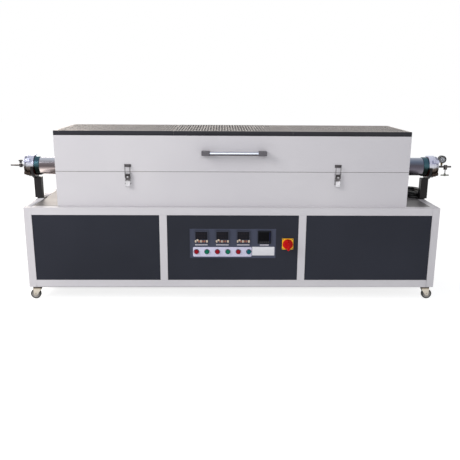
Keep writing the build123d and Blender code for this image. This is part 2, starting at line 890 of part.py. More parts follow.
def tube_post(side):
    """A foot on the side rail, a square post and a saddle under the flange."""
    foot_x = mirrored(half_length - foot_width, half_length, side)
    foot_y = (axis_y - foot_depth / 2, axis_y + foot_depth / 2)
    foot = slab(foot_x, foot_y, (frame_top, frame_top + foot_sheet))
    post_span = mirrored(post_x - post_size / 2, post_x + post_size / 2, side)
    reach = ring_radius + seat_clearance
    post_y = (axis_y - post_depth / 2, axis_y + post_depth / 2)
    post = slab(post_span, post_y, (frame_top + foot_sheet, parting))
    end = post_x + post_size / 2
    saddle = along_tube(side, end - saddle_width, end, reach + saddle_wall)
    saddle &= slab(mirrored(0, 2 * half_length, side), (front, rear), (frame_top, parting))
    post = post - along_tube(side, 0, 2 * half_length, reach + saddle_wall / 2) + saddle
    post -= along_tube(side, 0, 2 * half_length, reach)
    return foot + post


def end_cap(side):
    """The finned end cap."""
    cap = along_tube(side, cap_start, cap_start + cap_disc, ring_radius)
    for angle in ear_angles:
        cap += ear(side, angle, cap_start, cap_start + cap_disc)
    cap += along_tube(side, cap_start, cap_end, cap_core_radius)
    step = (cap_length - cap_disc) / fin_count
    for index in range(fin_count):
        far = cap_start + cap_disc + (index + 1) * step
        cap += along_tube(side, far - fin_thickness, far, fin_radius)
    for angle in ear_angles:
        near = screw_point(side, angle, cap_start - cut_overrun)
        cap -= rod(near, screw_point(side, angle, cap_end), screw_radius + shaft_clearance)
    return cap


def thumb_screws(side):
    """The screws that hold the end cap on its ring."""
    screws = []
    seat = cap_start + cap_disc
    for angle in ear_angles:
        tip = screw_point(side, angle, ring_end - ear_length + screw_tip_gap)
        shoulder = screw_point(side, angle, seat)
        screw = rod(tip, shoulder, screw_radius)
        screw += rod(shoulder, screw_point(side, angle, seat + screw_knob_length), screw_knob_radius)
        screws.append(screw)
    return screws


def heat_plug(side):
    """The fibre plug that stands in the tube's mouth on a rod from the cap."""
    inner = cap_start - plug_standoff
    plug = along_tube(side, inner - plug_length, inner, plug_radius)
    return plug + along_tube(side, inner, cap_start, plug_rod_radius)


# ---------------------------------------------------------------- gas fittings
def gas_pipe(side, radius, end_radius):
    """The pipe out of the end cap with its hexagon nut and its slimmer end."""
    pipe = along_tube(side, cap_end, pipe_end - stub_length, radius)
    pipe += along_tube(side, pipe_end - stub_length, pipe_end, end_radius)
    start = side * cap_end
    hexagon = Plane(origin=(min(start, start + side * nut_length), axis_y, parting), z_dir=(1, 0, 0))
    return pipe + extrude(hexagon * RegularPolygon(nut_radius, 6), nut_length)


def left_gas_fitting():
    """Inlet pipe with the needle valve's body and stem."""
    x = -valve_x
    fitting = gas_pipe(-1, pipe_radius, stub_radius)
    foot = (x, axis_y, parting - valve_body_drop)
    fitting += rod(foot, (x, axis_y, parting + valve_body_rise), valve_body_radius)
    return fitting + rod((x, axis_y, parting), (x, axis_y, parting + valve_stem_top), valve_stem_radius)


def left_valve_knob():
    """The waisted black knob on the needle valve's stem."""
    x = -valve_x
    low = parting + valve_knob_bottom
    high = low + valve_knob_height
    waist = low + valve_waist_height
    flare = Pos(x, axis_y, (low + waist) / 2) * Cone(valve_skirt_radius, valve_waist_radius, waist - low)
    top = rod((x, axis_y, waist), (x, axis_y, high), valve_knob_radius)
    top = chamfer(top.edges().group_by(Axis.Z)[0], valve_knob_chamfer)
    bore_end = parting + valve_stem_top + bore_run_out
    bore = rod((x, axis_y, low), (x, axis_y, bore_end), valve_stem_radius + shaft_clearance)
    return flare + top - bore


def right_gas_fitting():
    """Outlet pipe with the gauge's branch and the tap's body."""
    fitting = gas_pipe(1, outlet_pipe_radius, outlet_stub_radius)
    branch = gauge_rise - gauge_radius
    fitting += rod((gauge_x, axis_y, parting), (gauge_x, axis_y, parting + branch), gauge_stem_radius)
    x = outlet_valve_x
    foot = (x, axis_y, parting - outlet_body_drop)
    fitting += rod(foot, (x, axis_y, parting + outlet_body_rise), outlet_body_radius)
    stem_end = parting - tee_drop + tee_hub_height / 2 - tee_stem_depth
    return fitting + rod((x, axis_y, parting), (x, axis_y, stem_end), valve_stem_radius)


def right_valve_handle():
    """The T-bar handle under the tap."""
    x = outlet_valve_x
    middle = parting - tee_drop
    top = middle + tee_hub_height / 2
    bar_z = middle - tee_bar_drop
    hub = rod((x, axis_y, middle - tee_hub_height / 2), (x, axis_y, top), tee_hub_radius)
    bar = rod((x - tee_length / 2, axis_y, bar_z), (x + tee_length / 2, axis_y, bar_z), tee_radius)
    bore_end = top - tee_stem_depth - bore_run_out
    bore = rod((x, axis_y, bore_end), (x, axis_y, top), valve_stem_radius + shaft_clearance)
    return hub + bar - bore


def pressure_gauge():
    """The round gauge, its dial towards the front, seated on the branch."""
    z = parting + gauge_rise
    face = axis_y - gauge_depth / 2
    case = rod((gauge_x, face, z), (gauge_x, face + gauge_depth, z), gauge_radius)
    return case - rod((gauge_x, face, z), (gauge_x, face + dial_depth, z), gauge_radius - gauge_rim)


# ---------------------------------------------------------------- casters
def turned(shape, x, y, turn):
    """Stand a caster's piece at its corner, turned about the swivel axis."""
    return Pos(x, y, 0) * Rot(0, 0, turn) * shape


def fork_legs(top, offset, back, front_reach):
    """The two cheeks that hold the axle, and the axle."""
    outline = Polyline(
        (-back, top), (front_reach, top), (front_reach, pedal_z - cheek_below_pedal),
        (offset + cheek_foot, wheel_radius - cheek_foot), (offset - cheek_foot, wheel_radius - cheek_foot),
        (-back, top - cheek_back_drop), close=True,
    )
    cheek = extrude(make_face(Plane.XZ * outline), fork_sheet / 2, both=True)
    middle = leg_inside + fork_sheet / 2
    legs = Pos(0, middle, 0) * cheek + Pos(0, -middle, 0) * cheek
    axle_end = (offset, leg_outside, wheel_radius)
    return legs + rod((offset, -leg_outside, wheel_radius), axle_end, axle_radius)


def swivel_fork():
    """The turning fork: top sheet with the king pin's hole, cheeks, axle and pedal pin."""
    top_z = (fork_top - fork_top_sheet, fork_top)
    fork = slab((-raceway_radius, pedal_out), (-leg_outside, leg_outside), top_z)
    fork += fork_legs(fork_top, -trail, raceway_radius, pedal_out + fork_reach_past_pedal)
    fork += rod((pedal_out, -leg_outside, pedal_z), (pedal_out, leg_outside, pedal_z), pedal_pin_radius)
    return fork - rod((0, 0, 0), (0, 0, caster_height), kingpin_radius + shaft_clearance)


def brake_pedal():
    """The raised pedal on its pin, at the other side of the swivel from the wheel."""
    half = leg_inside - seat_clearance
    pedal = rod((0, -half, 0), (0, half, 0), pedal_hub_radius)
    pedal += slab((0, pedal_length), (-half, half), (-pedal_sheet, 0))
    pedal -= rod((0, -half, 0), (0, half, 0), pedal_pin_radius + shaft_clearance)
    return Pos(pedal_out, 0, pedal_z) * Rot(0, -pedal_tilt, 0) * pedal


def wheel():
    """A wheel with a rounded tread, standing on the floor."""
    tyre = rod((0, -wheel_width / 2, wheel_radius), (0, wheel_width / 2, wheel_radius), wheel_radius)
    tyre = fillet(tyre.edges(), wheel_fillet)
    bore = axle_radius + shaft_clearance
    return tyre - rod((0, -wheel_width, wheel_radius), (0, wheel_width, wheel_radius), bore)


def front_caster_plate():
    """Top plate, raceway and king pin of a swivel caster."""
    half = caster_plate / 2
    plate = slab((-half, half), (-half, half), (plate_bottom, caster_height))
    plate += rod((0, 0, race_bottom), (0, 0, plate_bottom), raceway_radius)
    low = fork_top - fork_top_sheet - seat_clearance
    plate += rod((0, 0, low - kingpin_head_height), (0, 0, race_bottom), kingpin_radius)
    return plate + rod((0, 0, low - kingpin_head_height), (0, 0, low), kingpin_head)


def rear_caster_plate():
    """Top plate and fixed fork of a rigid caster."""
    half = caster_plate / 2
    plate = slab((-half, half), (-half, half), (plate_bottom, caster_height))
    return plate + fork_legs(plate_bottom, 0, raceway_radius, raceway_radius)


# ---------------------------------------------------------------- supply cable
def cable_gland():
    """The gland in the deck: nut, tapered dome and thread with a lock nut below."""
    base = Plane(origin=(gland_x, gland_y, frame_top), z_dir=(0, 0, 1))
    gland = extrude(base * RegularPolygon(gland_hex_radius, 6), gland_nut)
    dome = gland_height - gland_nut
    dome_centre = Pos(gland_x, gland_y, frame_top + gland_nut + dome / 2)
    gland += dome_centre * Cone(gland_shoulder, gland_mouth, dome)
    below = frame_top - deck_sheet
    thread_end = (gland_x, gland_y, below - gland_thread_drop)
    gland += rod(thread_end, (gland_x, gland_y, frame_top), gland_thread - seat_clearance)
    lock = Plane(origin=(gland_x, gland_y, below - gland_nut), z_dir=(0, 0, 1))
    return gland + extrude(lock * RegularPolygon(gland_hex_radius, 6), gland_nut)


def route_radii(points):
    """The bend radius at each inner point, from the shorter run and the turn."""
    radii = []
    for before, here, after in zip(points, points[1:], points[2:]):
        into = Vector(*here) - Vector(*before)
        out = Vector(*after) - Vector(*here)
        turn = radians(into.get_angle(out))
        radii.append(route_bend_share * min(into.length, out.length) / tan(turn / 2))
    return radii


def power_cable():
    """The free cable from the gland down to the coil."""
    points = [(gland_x + across, gland_y + back, frame_top + rise) for across, back, rise in cable_steps]
    radii = route_radii(points)
    print("cable radii", [round(radius) for radius in radii])
    path = FilletPolyline(*points, radius=radii)
    start = Vector(*points[1]) - Vector(*points[0])
    section = Plane(origin=points[0], z_dir=start) * Circle(cable_radius)
    tube = sweep(section, path=path)
    print("cable tube", round(path.length), "mm, volume ratio",
          round(tube.volume / (pi * cable_radius ** 2 * path.length), 4))
    return tube


def stadium(radius, bottom, height):
    """A solid with straight sides along Y and half-round ends."""
    outline = Plane(origin=(coil_x, coil_y, bottom), z_dir=(0, 0, 1))
    face = outline * Rot(0, 0, 90) * SlotCenterToCenter(coil_straight, 2 * radius)
    return extrude(face, height)


def cable_coil():
    """The outer shape of the wound cable."""
    height = 2 * cable_radius * coil_layers
    outer = stadium(coil_turn_radius + cable_radius, frame_top, height)
    inner = coil_turn_radius + cable_radius - 2 * cable_radius * coil_rows
    ring = outer - stadium(inner, frame_top, height)
    return fillet(ring.edges().filter_by(Plane.XY), coil_edge_radius)


def main():
    """Build every node and write it to its own file."""
    os.makedirs("parts", exist_ok=True)
    save("frame_tubes", *frame_tubes())
    save("cabinet_panels", *cabinet_panels())
    save("control_panel", control_panel())
    save("top_deck", top_deck())
    save("floor_tray", floor_tray())
    save("power_modules", *power_modules())
    save("instrument_plate", instrument_plate())
    save("instrument_cases", *[instrument_case(x) for x in instrument_places])
    save("button_bezels", *[button_bezel(x) for x in button_places])
    save("switch_plate", switch_plate())
    save("switch_knob", switch_knob())
    for index, x in enumerate(button_places):
        save("button_" + str(index + 1), button_cap(x))
    save("furnace_base_shell", furnace_base_shell())
    save("lower_insulation", *lower_insulation())
    save("lower_heaters", *heater_rods(False, heater_radius))
    save("lid_shell", lid_shell())
    save("upper_insulation", upper_insulation())
    save("upper_heaters", *heater_rods(True, heater_radius))
    save("vent_covers", *vent_covers())
    save("thermocouples", *thermocouples())
    save("handle_brackets", *handle_brackets())
    save("handle_bar", handle_bar())
    save("latch_bases", *[latch_base(side * latch_x) for side in (-1, 1)])
    save("latch_keepers", *[latch_keeper(side * latch_x) for side in (-1, 1)])
    save("hinge_base_leaves", *[hinge_base(x) for x in hinge_positions])
    save("hinge_lid_leaves", *[hinge_lid(x) for x in hinge_positions])
    save("work_tube", work_tube())
    save("flange_rings", *[make(side) for make in (flange_ring, clamp_ring) for side in (-1, 1)])
    save("flange_seals", *[seal for side in (-1, 1) for seal in flange_seals(side)])
    save("tube_posts", *[tube_post(side) for side in (-1, 1)])
    for name, side in (("left", -1), ("right", 1)):
        save(name + "_latch_lever", latch_lever(side * latch_x))
        save(name + "_latch_bail", latch_bail(side * latch_x))
        save(name + "_end_cap", end_cap(side), *thumb_screws(side))
        save(name + "_heat_plug", heat_plug(side))
    save("left_gas_fitting", left_gas_fitting())
    save("left_valve_knob", left_valve_knob())
    save("right_gas_fitting", right_gas_fitting())
    save("right_valve_handle", right_valve_handle())
    save("pressure_gauge", pressure_gauge())
    plates = [turned(front_caster_plate(), x, caster_y, 0) for x in (-caster_x, caster_x)]
    plates += [turned(rear_caster_plate(), x, rear_caster_y, 0) for x in (-caster_x, caster_x)]
    save("caster_plates", *plates)
    for name, (x, turn) in front_casters.items():
        save(name + "_front_fork", turned(swivel_fork(), x, caster_y, turn))
        save(name + "_brake_pedal", turned(brake_pedal(), x, caster_y, turn))
    for name, (x, y, turn, offset) in wheel_places.items():
        save(name + "_wheel", turned(Pos(offset, 0, 0) * wheel(), x, y, turn))
    save("cable_gland", cable_gland())
    save("power_cable", power_cable())
    save("cable_coil", cable_coil())


main()
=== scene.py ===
from math import cos, pi, radians, sin

import bmesh
import bpy
import numpy as np
from mathutils import Matrix, Vector


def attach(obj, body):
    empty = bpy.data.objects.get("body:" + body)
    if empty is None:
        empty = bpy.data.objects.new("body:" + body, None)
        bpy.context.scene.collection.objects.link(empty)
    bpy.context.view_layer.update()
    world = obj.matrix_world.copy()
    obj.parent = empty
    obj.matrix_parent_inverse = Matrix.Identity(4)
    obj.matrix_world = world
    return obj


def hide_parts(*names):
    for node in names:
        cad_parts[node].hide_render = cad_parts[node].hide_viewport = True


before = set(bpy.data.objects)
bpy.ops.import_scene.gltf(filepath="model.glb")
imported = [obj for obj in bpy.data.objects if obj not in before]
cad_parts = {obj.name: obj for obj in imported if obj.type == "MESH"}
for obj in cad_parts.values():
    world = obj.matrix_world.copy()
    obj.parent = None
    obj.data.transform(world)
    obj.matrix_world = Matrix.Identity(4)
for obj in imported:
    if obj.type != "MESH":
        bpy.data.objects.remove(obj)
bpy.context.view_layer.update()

MM = 0.001

# ------------------------------------------------------------------ sizes in millimetres
REAR = 292.5              # rear face of the cabinet frame
SIDE_PANEL = 1098.0       # outer face of the end panels, either way from the middle
FRAME_TOP = 520.0         # top of the cabinet
AXIS_Y = 22.5             # work tube's axis
PARTING = 705.0           # height of the tube's axis and of the lid's parting line
HALF_BODY = 930.0         # half the furnace body's length
BODY_FRONT = -207.5
BODY_REAR = 252.5
TUBE_NOTCH = 56.0         # radius that the rim seal leaves free round the tube
ZONES = (-580.0, 0.0, 580.0)   # middles of the three heating zones
LID_TOP = 893.0
COVER_TOP = 917.0
PLATE_FACE = -243.5       # front of the plate that carries the instruments
CASE_FRONT = 7.0          # how far the instrument cases stand out from that plate
INSTRUMENT_Z = 361.0
CONTROLLER_X = (-168.0, -56.0, 56.0)
RECORDER_X = 168.5
RATING_PLATE = (164.0, 282.5)
BUTTON_Z = 280.0
BUTTON_X = [-195.0 + 56.2 * number for number in range(6)]
ISOLATOR = (294.0, 323.5)
LATCH_X = 552.0           # middle of each latch, either way from the middle
GAUGE_X, GAUGE_Z = 1185.0, 747.0
WHEEL_RADIUS = 27.5
GLAND = (957.0, -52.5)    # where the cable leaves the deck
CABLE_RADIUS = 6.0
COIL = (1065.0, 140.5)    # middle of the coiled cable

TO_FRONT, TO_REAR = (0, -1, 0), (0, 1, 0)
UP, DOWN = (0, 0, 1), (0, 0, -1)


# ------------------------------------------------------------------ forms
def quads(rows, columns, round_rows=False, round_columns=False):
    """Faces between neighbours of a rows by columns grid of points; a round grid closes on itself."""
    r = np.arange(rows if round_rows else rows - 1)[:, None]
    c = np.arange(columns if round_columns else columns - 1)[None, :]
    r2, c2 = (r + 1) % rows, (c + 1) % columns
    corners = np.broadcast_arrays(r * columns + c, r * columns + c2, r2 * columns + c2, r2 * columns + c)
    return np.stack(corners, -1).reshape(-1, 4)


def joined(*forms):
    """Several forms as one: points are stacked and each form's faces count on from the points before."""
    points, faces, first = [], [], 0
    for form_points, form_faces in forms:
        points.append(form_points)
        faces.extend([[corner + first for corner in face] for face in form_faces])
        first += len(form_points)
    return np.concatenate(points), faces


def lathe(profile, centre, axis, steps=48, flutes=0, flute_depth=0.0, closed=False):
    """Turned form. Point = centre + height * axis + radius * (cos t * u + sin t * v), t once round.

    The profile is (radius, height) pairs from the low end outward, up and back in. Flutes take
    depth * (1 - cos(flutes * t)) / 2 off the radius where the third number of a pair is 1.
    """
    axis = np.array(axis, float)
    side = np.array((0.0, 0.0, 1.0)) if abs(axis[2]) < 0.9 else np.array((1.0, 0.0, 0.0))
    u = np.cross(side, axis)
    u /= np.linalg.norm(u)
    v = np.cross(axis, u)
    turn = 2 * pi * np.arange(steps) / steps
    rows = np.array([tuple(row) + (0.0,) * (3 - len(row)) for row in profile])
    wave = flute_depth * (1 - np.cos(flutes * turn)) / 2
    radius = rows[:, 0, None] - rows[:, 2, None] * wave[None, :]
    ring = np.cos(turn)[:, None] * u + np.sin(turn)[:, None] * v
    points = np.array(centre) + rows[:, 1, None, None] * axis + radius[:, :, None] * ring[None]
    return points.reshape(-1, 3), quads(len(rows), steps, closed, True).tolist()


def outline(half_a, half_b, corner, inset=0.0, steps=5):
    """Round-cornered rectangle, anticlockwise: corner centre + (corner - inset) * (cos t, sin t)."""
    turn = np.concatenate([np.linspace(k * pi / 2, (k + 1) * pi / 2, steps) for k in range(4)])
    sign_a = np.repeat((1, -1, -1, 1), steps)
    sign_b = np.repeat((1, 1, -1, -1), steps)
    reach = max(corner, inset)
    bend = max(corner - inset, 0.0)
    a = sign_a * (half_a - reach) + bend * np.cos(turn)
    b = sign_b * (half_b - reach) + bend * np.sin(turn)
    return a, b


FACINGS = {   # for each facing: the directions of width, height and outward
    "front": ((1, 0, 0), UP, TO_FRONT),
    "top": ((1, 0, 0), TO_REAR, UP),
}


def tablet(centre, width, height, thick, corner=1.0, edge=0.3, facing="front", crown=0.0):
    """Flat piece with round corners and a rounded front edge, its back on the centre point.

    Ring k is the outline moved in by edge * (1 - cos t) at height thick - edge * (1 - sin t), t from 0
    to a quarter turn; a crown adds one ring further in, raised by the crown.
    """
    a_way, b_way, out = (np.array(way, float) for way in FACINGS[facing])
    bend = np.linspace(0, pi / 2, 4)
    levels = [(0.0, 0.0)] + [(edge * (1 - cos(t)), thick - edge * (1 - sin(t))) for t in bend]
    if crown:
        inner = min(width, height) / 4
        levels.append((inner, thick + crown))
    rings = []
    for inset, rise in levels:
        a, b = outline(width / 2, height / 2, corner, inset)
        rings.append(np.array(centre) + a[:, None] * a_way + b[:, None] * b_way + rise * out)
    count = len(rings[0])
    faces = quads(len(rings), count, False, True).tolist()
    faces.append(list(range(count - 1, -1, -1)))
    faces.append(list(range((len(rings) - 1) * count, len(rings) * count)))
    return np.concatenate(rings), faces


def bar(low, high, edge=0.5):
    """Box with rounded vertical and top edges, from its lowest to its highest corner."""
    size = np.array(high) - np.array(low)
    base = ((low[0] + high[0]) / 2, (low[1] + high[1]) / 2, low[2])
    return tablet(base, size[0], size[1], size[2], edge, edge, "top")


def wound_wire(start, length, radius, wire, pitch, around=10, sides=6):
    """Wire wound round a line along X: centre = start + (x, r cos t, r sin t), x = pitch * t / one turn.

    The wire's own section is wire * (cos s * outward + sin s * along).
    """
    turns = length / pitch
    count = int(turns * around) + 1
    turn = np.linspace(0, 2 * pi * turns, count)
    section = 2 * pi * np.arange(sides) / sides
    outward = np.stack([np.zeros(count), np.cos(turn), np.sin(turn)], -1)
    centre = np.array(start) + radius * outward
    centre[:, 0] += turn / (2 * pi) * pitch
    along = np.array((1.0, 0.0, 0.0))
    points = centre[:, None] + wire * (
        np.cos(section)[None, :, None] * outward[:, None] + np.sin(section)[None, :, None] * along
    )
    faces = quads(count, sides, False, True).tolist()
    faces.append(list(range(sides - 1, -1, -1)))
    faces.append(list(range((count - 1) * sides, count * sides)))
    return points.reshape(-1, 3), faces


def strokes(centre, lines, width, thick):
    """Thin raised bars on a front face: each line is a start and an end across and up that face."""
    a_way, b_way, out = (np.array(way, float) for way in FACINGS["front"])
    forms = []
    for start, end in lines:
        start, end = np.array(start), np.array(end)
        run = (end - start) / np.linalg.norm(end - start)
        across = np.array((-run[1], run[0])) * width / 2
        flat = np.array([start - across, end - across, end + across, start + across])
        base = np.array(centre) + flat[:, :1] * a_way + flat[:, 1:] * b_way
        points = np.concatenate([base, base + thick * out])
        faces = [[3, 2, 1, 0], [4, 5, 6, 7], [0, 1, 5, 4], [1, 2, 6, 5], [2, 3, 7, 6], [3, 0, 4, 7]]
        forms.append((points, faces))
    return joined(*forms)


# ------------------------------------------------------------------ finishes
def shade(red, green, blue):
    """A screen colour from 0 to 255 as linear light."""
    channels = np.array((red, green, blue)) / 255
    linear = np.where(channels <= 0.04045, channels / 12.92, ((channels + 0.055) / 1.055) ** 2.4)
    return (*linear.tolist(), 1.0)


class Finish:
    """A material under construction: a principled shader and the nodes that vary it."""

    def __init__(self, name, roughness=0.5, metallic=0.0, **sockets):
        """A new material; each further socket is named with underscores for its spaces."""
        self.material = bpy.data.materials.new(name)
        self.material.use_nodes = True
        self.tree = self.material.node_tree
        self.shader = self.tree.nodes["Principled BSDF"]
        self.shader.inputs["Roughness"].default_value = roughness
        self.shader.inputs["Metallic"].default_value = metallic
        for socket, value in sockets.items():
            self.shader.inputs[socket.replace("_", " ")].default_value = value
        self.place = self.add("ShaderNodeTexCoord").outputs["Object"]

    def add(self, kind, **settings):
        """A new node of a kind, with its settings."""
        node = self.tree.nodes.new(kind)
        for key, value in settings.items():
            setattr(node, key, value)
        return node

    def join(self, source, target):
        """Links one socket to another."""
        self.tree.links.new(source, target)

    def stretched(self, stretch, shift=(0.0, 0.0, 0.0)):
        """Object coordinates, stretched and then shifted."""
        node = self.add("ShaderNodeMapping")
        node.inputs["Location"].default_value = shift
        node.inputs["Scale"].default_value = stretch
        self.join(self.place, node.inputs["Vector"])
        return node.outputs["Vector"]

    def noise(self, scale, detail=3.0, rough=0.55, stretch=(1.0, 1.0, 1.0)):
        """Cloudy noise on stretched object coordinates."""
        node = self.add("ShaderNodeTexNoise")
        node.inputs["Scale"].default_value = scale
        node.inputs["Detail"].default_value = detail
        node.inputs["Roughness"].default_value = rough
        self.join(self.stretched(stretch), node.inputs["Vector"])
        return node.outputs["Fac"]

    def cells(self, scale):
        """Distance from the middle of the nearest small cell."""
        node = self.add("ShaderNodeTexVoronoi")
        node.inputs["Scale"].default_value = scale
        self.join(self.place, node.inputs["Vector"])
        return node.outputs["Distance"]

    def spread(self, source, low, high, from_low=0.3, from_high=0.7):
        """A value carried in a straight line from one range to another, and held at its ends."""
        node = self.add("ShaderNodeMapRange")
        ends = {"From Min": from_low, "From Max": from_high, "To Min": low, "To Max": high}
        for socket, value in ends.items():
            node.inputs[socket].default_value = value
        self.join(source, node.inputs["Value"])
        return node.outputs["Result"]

    def reckon(self, operation, *values):
        """One step of arithmetic on sockets and plain numbers."""
        node = self.add("ShaderNodeMath", operation=operation)
        for value, socket in zip(values, node.inputs):
            if isinstance(value, float):
                socket.default_value = value
            else:
                self.join(value, socket)
        return node.outputs[0]

    def axis_parts(self):
        """Object coordinates as three sockets: along X, along Y and up."""
        split = self.add("ShaderNodeSeparateXYZ")
        self.join(self.place, split.inputs["Vector"])
        return split.outputs

    def ramp(self, source, *stops):
        """Colours along a value: each stop is a position and a screen colour."""
        node = self.add("ShaderNodeValToRGB")
        elements = node.color_ramp.elements
        while len(elements) < len(stops):
            elements.new(0.5)
        for element, (position, colour) in zip(elements, stops):
            element.position = position
            element.color = shade(*colour)
        self.join(source, node.inputs["Fac"])
        return node.outputs["Color"]

    def toned(self, source, dark, light):
        """Screen colours from dark to light, where a value goes from 0.3 to 0.7."""
        return self.ramp(self.spread(source, 0.0, 1.0), (0.0, dark), (1.0, light))

    def mixed(self, factor, first, second, blend="MIX"):
        """Two colours, each a socket or linear light, mixed or multiplied by a factor."""
        node = self.add("ShaderNodeMix", data_type="RGBA", blend_type=blend)
        self.join(factor, node.inputs[0])
        for value, socket in ((first, node.inputs[6]), (second, node.inputs[7])):
            if isinstance(value, tuple):
                socket.default_value = value
            else:
                self.join(value, socket)
        return node.outputs[2]

    def colour(self, source):
        """Sends a socket to the base colour."""
        self.join(source, self.shader.inputs["Base Color"])

    def rough(self, source):
        """Sends a socket to the roughness."""
        self.join(source, self.shader.inputs["Roughness"])

    def bump(self, *layers):
        """Bump layers, each (height socket, distance in metres)."""
        below = None
        for height, distance in layers:
            node = self.add("ShaderNodeBump")
            node.inputs["Strength"].default_value = 1.0
            node.inputs["Distance"].default_value = distance
            self.join(height, node.inputs["Height"])
            if below is not None:
                self.join(below, node.inputs["Normal"])
            below = node.outputs["Normal"]
        self.join(below, self.shader.inputs["Normal"])


def paint(name, light, dark, roughness, peel=0.00004, peel_scale=260.0, **sockets):
    """Sprayed paint: slow tone drift, orange peel, and roughness that varies in soft patches."""
    made = Finish(name, **sockets)
    drift = made.noise(1.7, 2.0)
    fine = made.noise(90.0, 4.0, 0.6)
    tone = made.toned(drift, dark, light)
    speck = made.spread(fine, 0.0, 0.06, 0.55, 0.75)
    made.colour(made.mixed(speck, tone, shade(*dark)))
    made.rough(made.spread(made.noise(6.0, 5.0, 0.65), *roughness))
    made.bump((made.noise(peel_scale, 2.0), peel), (made.noise(9.0, 1.0), 0.0002))
    return made.material


def brushed(name, light, dark, roughness, stretch, tint=None):
    """Metal with a fine grain drawn out along one direction, and handling marks."""
    made = Finish(name, metallic=1.0)
    grain = made.noise(700.0, 5.0, 0.7, stretch)
    marks = made.noise(14.0, 6.0, 0.7)
    tone = made.toned(grain, dark, light)
    if tint:
        tone = made.mixed(made.spread(marks, 0.0, 0.35, 0.45, 0.75), tone, shade(*tint))
    made.colour(tone)
    made.rough(made.spread(marks, *roughness))
    made.bump((grain, 0.00003), (made.noise(40.0, 3.0), 0.00002))
    return made.material


def moulded(name, light, dark, roughness, depth=0.00004, **sockets):
    """Moulded plastic or rubber: fine even texture, slight flow marks and rubbed patches."""
    made = Finish(name, **sockets)
    flow = made.noise(7.0, 3.0)
    made.colour(made.toned(flow, dark, light))
    made.rough(made.spread(made.noise(30.0, 5.0, 0.7), *roughness))
    made.bump((made.noise(900.0, 3.0), depth))
    return made.material


def cast_metal(name, light, dark, roughness):
    """Plated or cast metal: small crystals in the plating and darker low places."""
    made = Finish(name, metallic=1.0)
    depth = 0.00012
    crystal = made.cells(420.0)
    patch = made.noise(22.0, 5.0, 0.65)
    tone = made.toned(patch, dark, light)
    low_place = made.spread(crystal, 0.0, 0.12, 0.0, 1.0)
    made.colour(made.mixed(low_place, tone, shade(*dark)))
    made.rough(made.spread(patch, *roughness))
    made.bump((crystal, depth * 0.2), (made.noise(130.0, 3.0), depth))
    return made.material


def fibre(name, light, dark):
    """Vacuum-formed fibre: felted clumps, pits and scorched patches."""
    made = Finish(name, roughness=0.95)
    clump = made.noise(55.0, 8.0, 0.75)
    strand = made.noise(420.0, 4.0, 0.7, (1.0, 0.25, 1.0))
    tone = made.toned(clump, dark, light)
    scorched = made.spread(made.noise(6.0, 3.0), 0.0, 0.25, 0.5, 0.8)
    made.colour(made.mixed(scorched, tone, shade(196, 178, 150)))
    made.bump((clump, 0.0012), (strand, 0.0004))
    return made.material


white_paint = paint("white satin paint", (210, 207, 210), (203, 200, 204), (0.34, 0.48),
                    Specular_IOR_Level=0.35)
dark_paint = paint("charcoal panel paint", (45, 47, 56), (38, 40, 48), (0.4, 0.55),
                   peel=0.00006, peel_scale=500.0, Specular_IOR_Level=0.12)
deck_paint = paint("grey deck paint", (112, 109, 109), (98, 96, 98), (0.36, 0.48),
                   Specular_IOR_Level=0.35)
plate_paint = paint("blue grey plate paint", (70, 74, 92), (61, 65, 81), (0.36, 0.5),
                    Specular_IOR_Level=0.2)
cover_paint = paint("slate cover paint", (40, 40, 47), (32, 32, 38), (0.34, 0.42), peel=0.00002,
                    Specular_IOR_Level=0.25, Sheen_Weight=0.65, Sheen_Roughness=0.3,
                    Sheen_Tint=shade(255, 246, 238))
post_paint = paint("black post paint", (40, 37, 38), (24, 22, 25), (0.3, 0.45), peel=0.0001,
                   Specular_IOR_Level=0.2)
gauge_paint = paint("black gauge paint", (38, 38, 42), (28, 28, 31), (0.25, 0.4))
strip_plastic = moulded("pale lilac legend plate", (206, 204, 226), (197, 195, 219), (0.35, 0.5))
label_plastic = moulded("white legend strip", (200, 197, 206), (186, 183, 193), (0.4, 0.55))
case_plastic = moulded("dark instrument plastic", (60, 63, 77), (52, 54, 67), (0.35, 0.5),
                       Specular_IOR_Level=0.2)
recorder_plastic = moulded("black recorder plastic", (26, 28, 34), (20, 21, 26), (0.35, 0.5),
                           Specular_IOR_Level=0.08)
key_cream = moulded("cream key rubber", (206, 190, 172), (192, 175, 156), (0.45, 0.6))
key_orange = moulded("orange key rubber", (160, 98, 72), (132, 80, 60), (0.45, 0.6))
yellow_plastic = moulded("yellow plastic", (254, 198, 44), (246, 184, 34), (0.3, 0.42),
                         Specular_IOR_Level=0.15)
red_plastic = moulded("red plastic", (200, 10, 10), (182, 6, 8), (0.3, 0.42), Specular_IOR_Level=0.15)
black_plastic = moulded("black plastic", (34, 34, 35), (24, 24, 25), (0.35, 0.5))
grey_casting = moulded("dark grey handle casting", (92, 89, 94), (78, 75, 80), (0.4, 0.55),
                       depth=0.00009)
cable_rubber = moulded("black cable jacket", (30, 30, 32), (20, 20, 22), (0.34, 0.5))
tyre_rubber = moulded("dark tyre rubber", (58, 60, 56), (40, 41, 38), (0.55, 0.75), depth=0.0001)
core_plastic = moulded("grey wheel core", (176, 172, 168), (150, 146, 142), (0.4, 0.55))
seal_rubber = moulded("red silicone seal", (168, 60, 44), (146, 48, 36), (0.45, 0.6))
pedal_plastic = moulded("black pedal plastic", (40, 36, 34), (26, 24, 23), (0.4, 0.55))
# the rope seal's grey is painted shade of the gap along the parting line
shade_grey_rope_seal = fibre("grey rope seal", (150, 148, 148), (118, 116, 117))
ceramic_fibre = fibre("white ceramic fibre", (240, 238, 232), (222, 216, 206))
dark_chrome = brushed("dark chrome rings", (96, 92, 104), (66, 62, 74), (0.2, 0.34), (1.0, 1.0, 1.0))
